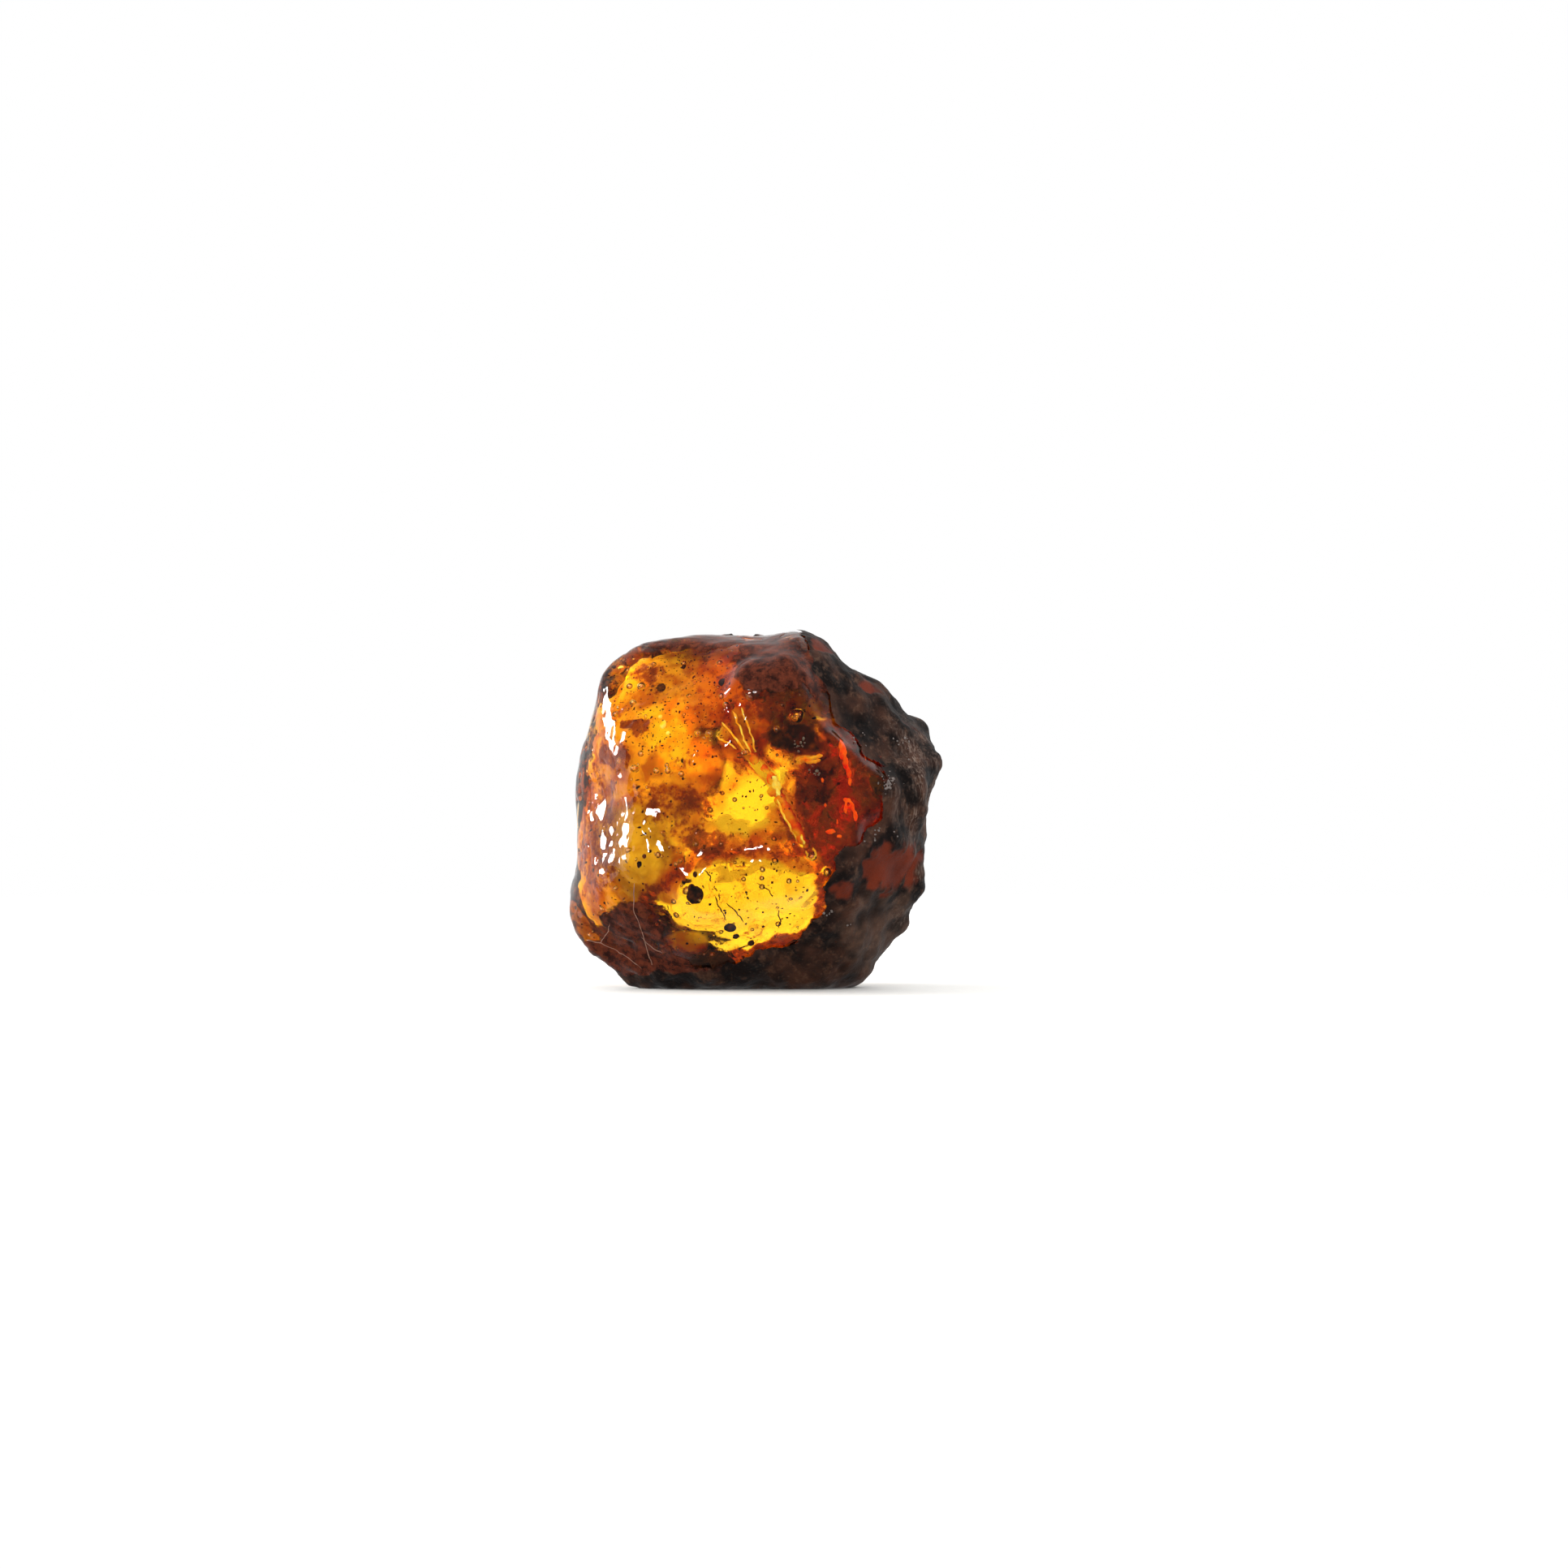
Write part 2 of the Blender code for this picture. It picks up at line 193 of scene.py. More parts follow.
# Cracks in the red flow, as (X, Z, half width, half height), painted bright: their colour is a painted glint
# that stands in for the light running along them.
FLAME_DEPTH = 0.45
FLAME_THICK = 0.1
FLAMES = [
    (5.3, 15.0, 0.2, 0.4), (5.35, 14.4, 0.26, 0.45), (5.5, 13.8, 0.24, 0.45), (5.7, 13.2, 0.22, 0.45),
    (5.75, 12.7, 0.14, 0.3), (5.6, 11.6, 0.3, 0.18), (5.9, 11.2, 0.18, 0.3), (5.5, 11.1, 0.14, 0.35),
    (6.1, 10.6, 0.16, 0.35), (4.6, 9.7, 0.35, 0.16), (5.1, 9.4, 0.2, 0.14), (6.7, 14.2, 0.1, 0.35),
    (4.1, 12.8, 0.12, 0.2), (5.0, 10.3, 0.1, 0.22), (4.3, 11.3, 0.1, 0.16),
]
# Painted hot spots: pale lumps close under the surface whose pale colour stands in for the light gathered
# there, the brightest places of all.
HOT_SPOT_LUMPS = [
    (1.25, 12.85, 0.3, (0.22, 0.1, 0.24)), (1.38, 12.45, 0.3, (0.42, 0.14, 0.32)),
    (1.45, 12.05, 0.3, (0.22, 0.1, 0.24)), (2.85, 9.4, 0.3, (0.1, 0.08, 0.2)),
    (3.0, 9.05, 0.3, (0.12, 0.08, 0.18)), (-5.65, 16.65, 0.3, (0.16, 0.1, 0.2)),
    (-5.5, 16.15, 0.3, (0.24, 0.12, 0.36)), (-5.2, 15.6, 0.3, (0.18, 0.1, 0.16)),
    (-8.2, 19.7, 0.3, (0.26, 0.1, 0.14)), (-7.4, 20.2, 0.3, (0.14, 0.08, 0.08)),
]
SHOULDER_SOIL = [(0.6, 18.9, 1.8, (1.3, 0.5, 0.8)), (2.2, 19.6, 1.8, (0.9, 0.5, 0.9))]
CORNER_SOIL = [(-7.9, 3.9, 1.2, (1.8, 0.5, 1.1))]

# Small things inside -------------------------------------

# Grains of dark soil, as (X, Z, depth, radius).
GRAINS = [
    (-3.55, 5.9, 0.9, 0.46), (-3.75, 6.25, 0.9, 0.25), (-1.47, 3.85, 0.9, 0.4), (-1.1, 3.3, 0.9, 0.24),
    (-3.55, 7.15, 0.8, 0.16), (-5.65, 18.4, 0.7, 0.3), (-2.0, 18.7, 0.9, 0.22), (-0.2, 2.9, 0.8, 0.25),
    (-6.6, 8.2, 0.6, 0.12), (-6.2, 8.5, 0.6, 0.09), (-9.8, 7.3, 0.5, 0.12), (-4.3, 19.7, 0.8, 0.16),
]
# Bubbles that show most, as (X, Z, depth, radius).
BUBBLES_BY_PLACE = [
    (-7.33, 17.5, 0.5, 0.24), (-6.83, 14.4, 0.4, 0.2), (-7.25, 13.5, 0.4, 0.26),
    (-8.2, 13.96, 0.4, 0.22), (-1.66, 17.3, 0.4, 0.25), (-3.4, 15.6, 0.5, 0.26), (-2.7, 15.6, 0.5, 0.26),
    (-5.9, 13.35, 0.3, 0.2), (-5.2, 13.35, 0.3, 0.2), (-8.9, 4.3, 0.4, 0.26), (-6.8, 3.75, 0.3, 0.22),
    (-6.9, 18.5, 0.4, 0.28), (-7.6, 18.5, 0.3, 0.2), (2.5, 16.6, 0.6, 0.5), (4.4, 7.25, 0.5, 0.26),
    (3.5, 8.2, 0.4, 0.3), (-6.6, 10.3, 0.3, 0.14), (-0.2, 17.8, 0.4, 0.3),
]
BUBBLES = 230  # with the ones above
BUBBLE_SIZES = (0.05, 0.07, 0.08, 0.1, 0.12, 0.16, 0.2)
SPECKS = 1900
FINE_SPECKS = (0.02, 0.025, 0.03, 0.04, 0.05)  # sizes at the upper left
COARSE_SPECKS = (0.025, 0.03, 0.04, 0.06, 0.08)  # sizes elsewhere
# Clusters of quartz grit, as (X, Z, half width, depth, how many grains). A depth of 0 is on the crust.
GRIT_CLUSTERS = [
    (8.1, 12.6, 0.55, 0, 40), (2.75, 14.85, 0.4, 0.35, 14), (3.75, 13.35, 0.35, 0.35, 10),
    (7.2, 9.6, 1.0, 0, 10), (9.0, 15.2, 0.9, 0, 10), (4.8, 4.6, 0.9, 0, 8), (6.4, 15.2, 0.6, 0, 6),
]
# Dark hairs, each a line of (X, Z).
HAIRS = [
    [(-2.3, 5.8), (-2.1, 5.1), (-1.8, 4.6), (-1.7, 4.2)], [(-1.65, 5.4), (-1.1, 4.8), (-0.5, 4.0)],
    [(1.45, 5.0), (1.55, 4.3), (1.5, 3.7)], [(-3.0, 7.4), (-2.6, 7.0), (-2.6, 6.6)],
    [(0.2, 6.6), (0.9, 6.2), (1.2, 5.6)],
]
# Streaks where the seam and cracks in the red resin catch the light: their bright colour is a painted glint.
SEAM_STRANDS = [
    [(-1.3, 16.9), (-0.8, 15.8), (-0.4, 14.8), (-0.1, 14.4)], [(-1.9, 16.3), (-1.2, 15.4), (-0.4, 14.4)],
    [(-0.8, 17.1), (-0.4, 16.1), (0.0, 14.9), (0.1, 14.3)], [(-2.3, 15.4), (-1.6, 15.0), (-0.9, 14.6)],
    [(3.5, 8.7), (3.75, 8.3), (3.5, 7.95), (3.15, 8.1), (3.15, 8.6)],
    [(1.4, 11.6), (1.9, 10.5), (2.4, 9.5)],
]
# A sliver painted bright orange: a painted glint.
SLIVER = [[(2.6, 14.0), (3.4, 14.1), (4.3, 14.3)], [(3.1, 13.9), (3.6, 13.9), (4.1, 14.0)]]
# Fine threads of dried resin on the surface.
SURFACE_THREADS = [
    [(-7.2, 6.6), (-7.3, 5.0), (-6.9, 3.9), (-6.4, 2.0), (-6.0, 0.8)],
    [(-10.3, 3.0), (-9.4, 2.85), (-8.4, 2.35), (-7.5, 1.8), (-6.4, 0.9)],
    [(-6.9, 3.3), (-6.2, 2.6), (-5.4, 2.2)], [(-9.4, 2.85), (-8.9, 3.6), (-8.8, 4.2)],
]

# Studio, in metres ----------------------------------------

FLOOR_RADIUS = 0.25
FLOOR_FADE = (0.06, 0.24)  # how far out the floor begins to fade and where it is gone
ALL_ROUND = 2.2  # how bright the studio is all round
# The same for light that shines through the nugget and for reflections, as (how far to the back the
# change begins, brightness in front, brightness behind).
SHINES_THROUGH = (-0.3, 4.0, 2.8)
MIRRORED = (-0.2, 0.15, 0.8)
BACKDROP = 1.0
# Soft lamps, as (place, (width, height), watts).
LAMPS = {
    "left_softbox": ((-0.25, 0.05, 0.10), (0.09, 0.14), 0.8),
    "left_bounce": ((-0.30, 0.0, 0.06), (0.20, 0.26), 0.12),
    "front_softbox": ((-0.12, -0.27, 0.12), (0.025, 0.025), 0.12),
}
LAMPS_AIM = (0, 0, 0.011)
CAMERA_PLACE = (0.0018, -0.2683, 0.01255)
LENS_MM = 100
SENSOR_MM = 36
NEAREST_SEEN = 0.005


def linear(hex_colour):
    """An sRGB hex colour as linear RGBA."""
    parts = [int(hex_colour[i:i + 2], 16) / 255 for i in (1, 3, 5)]
    return [c / 12.92 if c <= 0.04045 else ((c + 0.055) / 1.055) ** 2.4 for c in parts] + [1.0]


# Patterns ------------------------------------------------


def smooth_step(low, high, value):
    t = np.clip((value - low) / (high - low), 0.0, 1.0)
    return t * t * (3 - 2 * t)


def waves(points, size, seed, octaves=1, stretch=(1, 1, 1)):
    """Noise of -1 to 1 at points in mm, with bumps about size mm apart."""
    total = np.zeros(len(points))
    share = 1.0
    shares = 0.0
    scaled = points / size / np.array(stretch)
    for octave in range(octaves):
        offset = Vector((seed, 7.3 * octave, -2.1 * seed))
        total += share * np.array([noise.noise(Vector(p) + offset) for p in scaled])
        shares += share
        share /= 2
        scaled = scaled * 2.03
    return total / shares


def creases(points, size, seed, octaves=1, stretch=(1, 1, 1)):
    """Noise of -1 to 1 with sharp ridges."""
    return 1 - np.abs(waves(points, size, seed, octaves, stretch)) * 2


def oval(points, x, z, half_width, half_height, wander=0.0):
    """1 inside an oval, 0 outside it; its border wanders."""
    away = np.hypot((points[:, 0] - x) / half_width, (points[:, 2] - z) / half_height)
    return smooth_step(1.2, 0.8, away + wander)


def ovals(points, places, wander=0.0):
    """The strongest of several ovals at each point; a place may end with how strong it is."""
    strongest = np.zeros(len(points))
    for x, z, half_width, half_height, *last in places:
        amount = last[0] if last else 1.0
        share = amount * oval(points, x, z, half_width, half_height, wander)
        strongest = np.maximum(strongest, share)
    return strongest


def line_gap(points, line):
    """How far points are from a line of (X, Z): above 0 on its right-hand side, below 0 on its left."""
    place = points[:, (0, 2)]
    nearest = np.full(len(points), np.inf)
    signed = np.zeros(len(points))
    for start, end in zip(line, line[1:]):
        start = np.array(start)
        along = np.array(end) - start
        share = np.clip((place - start) @ along / (along @ along), 0, 1)
        gap = place - start - share[:, None] * along
        distance = np.hypot(gap[:, 0], gap[:, 1])
        side = np.sign(along[0] * gap[:, 1] - along[1] * gap[:, 0])
        closer = distance < nearest
        nearest = np.where(closer, distance, nearest)
        signed = np.where(closer, -distance * side, signed)
    return signed


def outline_gap(points, outline):
    """How far points are inside a closed outline of (X, Z); below 0 outside it."""
    gap = np.abs(line_gap(points, outline + outline[:1]))
    inside = np.zeros(len(points), bool)
    for (x0, z0), (x1, z1) in zip(outline, outline[1:] + outline[:1]):
        if z0 != z1:
            crossing = x0 + (points[:, 2] - z0) * (x1 - x0) / (z1 - z0)
            inside ^= ((z0 > points[:, 2]) != (z1 > points[:, 2])) & (points[:, 0] < crossing)
    return np.where(inside, gap, -gap)


# Meshes --------------------------------------------------


def link_object(name, mesh):
    made = bpy.data.objects.new(name, mesh)
    bpy.context.scene.collection.objects.link(made)
    return made


def mesh_of(bm, name):
    mesh = bpy.data.meshes.new(name)
    bm.to_mesh(mesh)
    bm.free()
    return mesh


def even_mesh(made, face, smoothing, halved=False):
    """Remakes an object's mesh with even square faces."""
    remesh = made.modifiers.new("even faces", "REMESH")
    remesh.mode = "VOXEL"
    remesh.voxel_size = face * MM
    smooth = made.modifiers.new("smooth", "SMOOTH")
    smooth.iterations = smoothing
    if halved:
        halve = made.modifiers.new("halved", "SUBSURF")
        halve.levels = 1
    graph = bpy.context.evaluated_depsgraph_get()
    done = bpy.data.meshes.new_from_object(made.evaluated_get(graph))
    made.modifiers.clear()
    made.data = done
    done.shade_smooth()


def points_of(mesh):
    places = np.empty(len(mesh.vertices) * 3)
    mesh.vertices.foreach_get("co", places)
    return places.reshape(-1, 3) / MM


def normals_of(mesh):
    normals = np.empty(len(mesh.vertices) * 3)
    mesh.vertices.foreach_get("normal", normals)
    return normals.reshape(-1, 3)


def set_points(mesh, points):
    mesh.vertices.foreach_set("co", (points * MM).ravel())
    mesh.update()


def keep_shares(mesh, **shares):
    """Stores shares of 0 to 1 for each point of a mesh, for its material to read."""
    for name, values in shares.items():
        made = mesh.attributes.new(name, "FLOAT", "POINT")
        made.data.foreach_set("value", np.clip(values, 0, 1).astype(np.float32))


def solid_copy(name):
    """A new object with the nugget's own solid as its mesh."""
    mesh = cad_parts["amber_nugget"].data.copy()
    bm = bmesh.new()
    bm.from_mesh(mesh)
    bmesh.ops.remove_doubles(bm, verts=bm.verts[:], dist=0.001 * MM)
    bm.to_mesh(mesh)
    bm.free()
    mesh.materials.clear()
    return link_object(name, mesh)


def finish_piece(piece, material):
    piece.data.materials.append(material)
    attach(piece, "root")


# Surface -------------------------------------------------


def crust_share(points):
    """1 where the weathered crust covers the nugget, 0 on bare resin."""
    wander = CRUST_EDGE_WANDER * waves(points, 1.8, seed=3.0, octaves=3)
    front = smooth_step(-CRUST_EDGE_SOFT, CRUST_EDGE_SOFT, wander - line_gap(points, CRUST_EDGE))
    right = smooth_step(*CRUST_RIGHT, points[:, 0] + 2 * wander)
    flakes = smooth_step(0.20, 0.26, waves(points, 2.6, seed=9.0, octaves=3))
    flakes = flakes * (1 - ovals(points, BARE_BACK, 0.4 * wander))
    behind = smooth_step(*BACK_FROM, points[:, 1] + 2 * wander)
    under = smooth_step(*CRUST_UNDER, points[:, 2] + 0.6 * wander)
    return np.maximum((1 - behind) * front + behind * np.maximum(right, flakes), under)


def resin_swells(points):
    """How far the resin's surface swells out at points."""
    swells = sum(tall * waves(points, size, seed=4.0 + size, octaves=2) for size, tall in SWELLS)
    ripple, ripple_tall = LEFT_RIPPLES
    pit, pit_deep = LEFT_PITS
    pits = pit_deep * smooth_step(0.3, 0.6, waves(points, pit, seed=14.0))
    left = ripple_tall * waves(points, ripple, seed=6.0, octaves=2) - pits
    chip, chip_tall = CHIPS
    chipped = ovals(points, CHIPPED) * (points[:, 1] < 0)
    chips = chip_tall * chipped * waves(points, chip, seed=15.0)
    return swells + left * smooth_step(*LEFT_FROM, points[:, 0]) + chips


def clear_lump():
    """The whole nugget as clear resin."""
    lump = solid_copy("clear_resin")
    even_mesh(lump, SURFACE_FACE, SMOOTHING, halved=True)
    mesh = lump.data
    points = points_of(mesh)
    moved = points + normals_of(mesh) * resin_swells(points)[:, None]
    moved[:, 2] = np.maximum(moved[:, 2], BASE_GAP)
    set_points(mesh, moved)
    finish_piece(lump, clear_amber())
    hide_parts("amber_nugget")
    return lump


def weathered_crust():
    """The crust and the stained skin: a thin coat that follows the resin where they cover it."""
    coat = solid_copy("weathered_crust")
    even_mesh(coat, SURFACE_FACE, SMOOTHING, halved=True)
    mesh = coat.data
    points = points_of(mesh)
    crust = crust_share(points)
    wander = waves(points, 0.9, seed=5.0, octaves=3) * 0.9
    facing_front = smooth_step(2.0, 0.5, points[:, 1] + wander)
    near_front = smooth_step(-0.5, -2.0, points[:, 1] + 1.5 * wander)
    worn = ovals(points, WORN_THIN, wander) * near_front
    skin = ovals(points, STAINED_SKIN, 0.7 * wander) * facing_front
    rim = smooth_step(*RIM_RIGHT, points[:, 0]) * smooth_step(*RIM_UP, points[:, 2])
    knob, knob_tall = CRUST_KNOBS
    grain, grain_tall = CRUST_GRAIN
    fibre, fibre_tall, stretch = CRUST_FIBRES
    knobs = waves(points, knob, seed=1.0, octaves=2)
    grains = waves(points, grain, seed=2.0, octaves=2)
    fibres = creases(points, fibre, seed=12.0, octaves=2, stretch=stretch)
    rough = CRUST_BED + knob_tall * knobs + grain_tall * grains + fibre_tall * rim * fibres
    thick = crust * (1 - 0.7 * worn) * np.maximum(rough, 0)
    height = resin_swells(points) + CRUST_LIFT * np.minimum(1, crust + skin) + thick
    moved = points + normals_of(mesh) * height[:, None]
    moved[:, 2] = np.maximum(moved[:, 2], 0.0)
    set_points(mesh, moved)
    silt = oval(points, *SILT, wander) * (1 - worn)
    # The dishes between the knobs, which the crust's material darkens: painted shade.
    hollow = smooth_step(0.0, -0.4, knobs)
    keep_shares(mesh, crust=crust, worn=worn, skin=skin, rim=rim, silt=silt, hollow=hollow)
    bare = {index for index, share in enumerate(crust + skin) if share < 0.02}
    bm = bmesh.new()
    bm.from_mesh(mesh)
    bm.verts.ensure_lookup_table()
    uncovered = [face for face in bm.faces if all(vert.index in bare for vert in face.verts)]
    bmesh.ops.delete(bm, geom=uncovered, context="FACES")
    bm.to_mesh(mesh)
    bm.free()
    finish_piece(coat, crust_and_skin())
    return coat


def stained_layer():
    """Tints and brown mottling that follow the surface a little under it."""
    layer = solid_copy("tints_and_mottling")
    even_mesh(layer, STAIN_FACE, 10)
    mesh = layer.data
    points = points_of(mesh)
    lobes = SCALLOP[1] * waves(points, SCALLOP[0], seed=21.0, octaves=2)
    wander = 1.4 * waves(points, 1.1, seed=22.0, octaves=3)
    lower = outline_gap(points, LOWER_FLOW) + lobes
    centre = outline_gap(points, CENTRE_FLOW) + lobes
    clear = np.maximum(smooth_step(-0.1, 0.2, lower), smooth_step(-0.2, 0.5, centre))
    beside = np.zeros(len(points))
    for line, half_width, amount in STREAKS:
        gap = np.abs(line_gap(points, line)) + 0.06 * wander
        clear = np.maximum(clear, amount * smooth_step(1.3 * half_width, 0.6 * half_width, gap))
        beside = np.maximum(beside, amount * np.exp(-((gap - 2 * half_width) / BESIDE_STREAKS) ** 2))
    clear = np.maximum(clear, ovals(points, SPOTS, wander))
    red = ovals(points, REDDENED, 0.3 * wander)
    by_crust = smooth_step(2.0, 0.2, line_gap(points, CRUST_EDGE) + 0.4 * wander)
    brown = np.maximum(ovals(points, MOTTLED, 0.8 * wander), 0.7 * by_crust)
    middle, reach = FRINGE
    fringe = np.maximum(np.exp(-((lower - middle) / reach) ** 2), 1.3 * beside)
    front = smooth_step(1.0, -1.0, points[:, 1] + wander)
    closed = front * (1 - clear)
    left = smooth_step(-2.0, -5.0, points[:, 0])
    orange = closed * np.maximum(0.85 - 0.75 * left, fringe) + (1 - front) * BACK_ORANGE
    red = closed * np.maximum(red, 0.8 * fringe)
    brown = closed * np.maximum(brown, 0.4 * fringe) + (1 - front) * BACK_MOTTLED
    keep_shares(mesh, orange=orange, red=red, brown=brown)
    set_points(mesh, points + normals_of(mesh) * (resin_swells(points) - STAIN_DEPTH)[:, None])
    finish_piece(layer, tint_and_mottle())


def cloudy_core():
    """The clouded middle of the lump, which light from all sides makes glow through the clear resin."""
    core = solid_copy("cloudy_core")
    face, finer_face = CORE_FACES
    even_mesh(core, face, 12)
    set_points(core.data, points_of(core.data) - normals_of(core.data) * CORE_DEPTH)
    even_mesh(core, finer_face, 6)
    mesh = core.data
    points = points_of(mesh)
    size, tall = CORE_LUMPS
    wander = waves(points, 2.0, seed=31.0, octaves=3)
    front = smooth_step(4.0, 1.0, points[:, 1])
    lower = 0.28 * smooth_step(-0.4, 0.6, outline_gap(points, LOWER_FLOW) + 0.5 * wander)
    centre = 0.15 * smooth_step(-0.4, 0.8, outline_gap(points, CENTRE_FLOW) + 0.5 * wander)
    yellow = np.maximum.reduce([lower, centre, ovals(points, YELLOW, 0.6 * wander)])
    olive = ovals(points, OLIVE, 0.3 * wander)
    honey = ovals(points, HONEY, 0.4 * wander)
    left_end = smooth_step(-5.0, -7.5, points[:, 0] + wander)
    gaps = ovals(points, CORE_GAPS, 0.4 * wander)
    clouds = front * np.maximum.reduce([yellow, olive, honey]) * (1 - gaps)
    behind = smooth_step(1.5, 3.0, points[:, 1]) * (1 - ovals(points, BARE_BACK, 0.4 * wander))
    cloudy = np.maximum.reduce([clouds, left_end, BACK_CLOUDS * behind])
    keep_shares(mesh, yellow=front * yellow * 1.6, olive=front * olive, cloudy=cloudy)
    set_points(mesh, points + normals_of(mesh) * (tall * waves(points, size, seed=32.0, octaves=3))[:, None])
    finish_piece(core, cloudy_amber())


# Inside --------------------------------------------------


class Depths:
    """Finds places inside the nugget by where they show from the front."""

    def __init__(self, piece):
        self.tree = BVHTree.FromObject(piece, bpy.context.evaluated_depsgraph_get())

    def seen(self, x, z, depth):
        """The place that shows at (x, z), depth mm under the surface along the bent line of sight."""
        ray = Vector((0, 1, 0))
        hit, normal, _, _ = self.tree.ray_cast(Vector((x, -30, z)) * MM, ray)
        if hit is None:
            return None
        ratio = 1 / RESIN_IOR
        facing = -normal.dot(ray)
        bent = ratio * ray + (ratio * facing - math.sqrt(1 - ratio ** 2 * (1 - facing ** 2))) * normal
        return hit / MM + bent.normalized() * depth

    def inside(self, place, margin):
        """True if a place is inside the nugget by at least margin mm."""
        near, normal, _, gap = self.tree.find_nearest(place * MM)
        return (place * MM - near).dot(normal) < 0 and gap > margin * MM

    def keep_inside(self, place, margin=0.25):
        """The place itself, or the nearest one that is margin mm inside the nugget."""
        if self.inside(place, margin):
            return place
        near, normal, _, _ = self.tree.find_nearest(place * MM)
        return near / MM - normal * margin


def body(name, lumps, depths, material, ragged, grain, seed, face=0.16):
    """One body inside the nugget, grown together from lumps, with a ragged surface."""
    bm = bmesh.new()
    for x, z, depth, half in lumps:
        centre = depths.seen(x, z, depth)
        made = bmesh.ops.create_icosphere(bm, subdivisions=4, radius=1)
        for vert in made["verts"]:
            vert.co = (Vector(vert.co[i] * half[i] for i in range(3)) + centre) * MM
    grown = link_object(name, mesh_of(bm, name))
    even_mesh(grown, face, 6)
    mesh = grown.data
    points = points_of(mesh)
    normals = normals_of(mesh)
    cracks = creases(points, grain * 0.5, seed=seed + 3, octaves=2)
    height = ragged * (waves(points, grain, seed=seed, octaves=3) - 0.25 * cracks)
    moved = points + normals * height[:, None]
    set_points(mesh, np.array([depths.keep_inside(Vector(p)) for p in moved]))
    finish_piece(grown, material)


def scatter(name, places, sizes, material, roundness, squash, seed):
    """Many small grains or bubbles as one mesh."""
    rng = random.Random(seed)
    bm = bmesh.new()
    for place, size in zip(places, sizes):
        made = bmesh.ops.create_icosphere(bm, subdivisions=roundness, radius=size)
        stretch = [1 + squash * rng.uniform(-1, 1) for _ in range(3)]
        for vert in made["verts"]:
            wobble = 1 + squash * rng.uniform(-0.5, 0.5)
            vert.co = (Vector(vert.co[i] * stretch[i] * wobble for i in range(3)) + place) * MM
    mesh = mesh_of(bm, name)
    mesh.shade_smooth()
    finish_piece(link_object(name, mesh), material)


def gas_bubbles(depths):
    """Round bubbles, thickest on the left half."""
    rng = random.Random(7)
    places = [depths.seen(x, z, depth + size) for x, z, depth, size in BUBBLES_BY_PLACE]
    sizes = [size for _, _, _, size in BUBBLES_BY_PLACE]
    while len(places) < BUBBLES:
        size = rng.choice(BUBBLE_SIZES)
        place = depths.seen(rng.uniform(-11, 3), rng.uniform(2, 21), rng.uniform(0.3, 1.4))
        if place and depths.inside(place, size + 0.05):
            places.append(place)
            sizes.append(size)
    scatter("gas_bubbles", places, sizes, gas_in_resin(), roundness=2, squash=0.0, seed=1)


def soil_specks(depths):
    """Specks of soil all through the resin, thickest near the front."""
    rng = random.Random(8)
    soil = sealed_soil()
    places = [depths.seen(x, z, depth + size) for x, z, depth, size in GRAINS]
    sizes = [size for _, _, _, size in GRAINS]
    scatter("soil_grains", places, sizes, soil, roundness=3, squash=0.12, seed=3)
    places, sizes = [], []
    while len(places) < SPECKS:
        region = rng.random()
        if region < 0.35:
            place = depths.seen(rng.uniform(-9.5, -1.5), rng.uniform(14.5, 21.4), rng.uniform(0.2, 1.0))
        elif region < 0.75:
            place = depths.seen(rng.uniform(-11, 4), rng.uniform(2, 21.5), rng.uniform(0.3, 2.0))
        else:
            place = Vector((rng.uniform(-11, 8), rng.uniform(-7, 7), rng.uniform(1, 21)))
        if place and depths.inside(place, 0.15):
            places.append(place)
            sizes.append(rng.choice(FINE_SPECKS if region < 0.35 else COARSE_SPECKS))
    scatter("soil_specks", places, sizes, soil, roundness=1, squash=0.4, seed=2)


def quartz_grit(depths, on_crust):
    """Pale sand grains, some stuck on the crust and some just under the resin's surface."""
    rng = random.Random(9)
    places, sizes = [], []
    for x, z, half_width, depth, count in GRIT_CLUSTERS:
        for _ in range(count):
            across = x + half_width * rng.gauss(0, 0.5)
            up = z + half_width * rng.gauss(0, 0.5)
            place = depths.seen(across, up, depth)
            stuck = on_crust.seen(across, up, 0) if depth == 0 else None
            if place and stuck and (stuck - place).length < MOST_CRUST:
                place = stuck
            if place:
                places.append(place)
                sizes.append(rng.uniform(0.03, 0.09))
    scatter("quartz_grit", places, sizes, quartz_sand(), roundness=2, squash=0.35, seed=5)


def threads(name, lines, depths, material, depth, radius, bend, seed):
    """Fine tubes along lines of (X, Z), bent a little at random."""
    rng = random.Random(seed)
    bm = bmesh.new()
    for line in lines:
        path = []
        for (x0, z0), (x1, z1) in zip(line, line[1:]):
            for step in range(5):
                share = step / 5
                x = x0 + share * (x1 - x0) + bend * rng.uniform(-1, 1)
                z = z0 + share * (z1 - z0) + bend * rng.uniform(-1, 1)
                path.append(depths.seen(x, z, depth))
        rings = []
        for index, place in enumerate(path):
            along = (path[min(index + 1, len(path) - 1)] - path[max(index - 1, 0)]).normalized()
            across = along.cross(Vector((0, 1, 0))).normalized()
            over = along.cross(across)
            end = min(index, len(path) - 1 - index)
            size = radius * (0.35 if end == 0 else 0.8 + 0.4 * rng.random())
            ring = []
            for side in range(6):
                turn = side * math.tau / 6
                out = math.cos(turn) * across + math.sin(turn) * over
                ring.append(bm.verts.new((place + size * out) * MM))
            rings.append(ring)
        for one, two in zip(rings, rings[1:]):
            for side in range(6):
                bm.faces.new((one[side], one[(side + 1) % 6], two[(side + 1) % 6], two[side]))
        bm.faces.new(rings[0][::-1])
        bm.faces.new(rings[-1])
    bmesh.ops.recalc_face_normals(bm, faces=bm.faces[:])
    mesh = mesh_of(bm, name)
    mesh.shade_smooth()
    finish_piece(link_object(name, mesh), material)


# Materials -----------------------------------------------


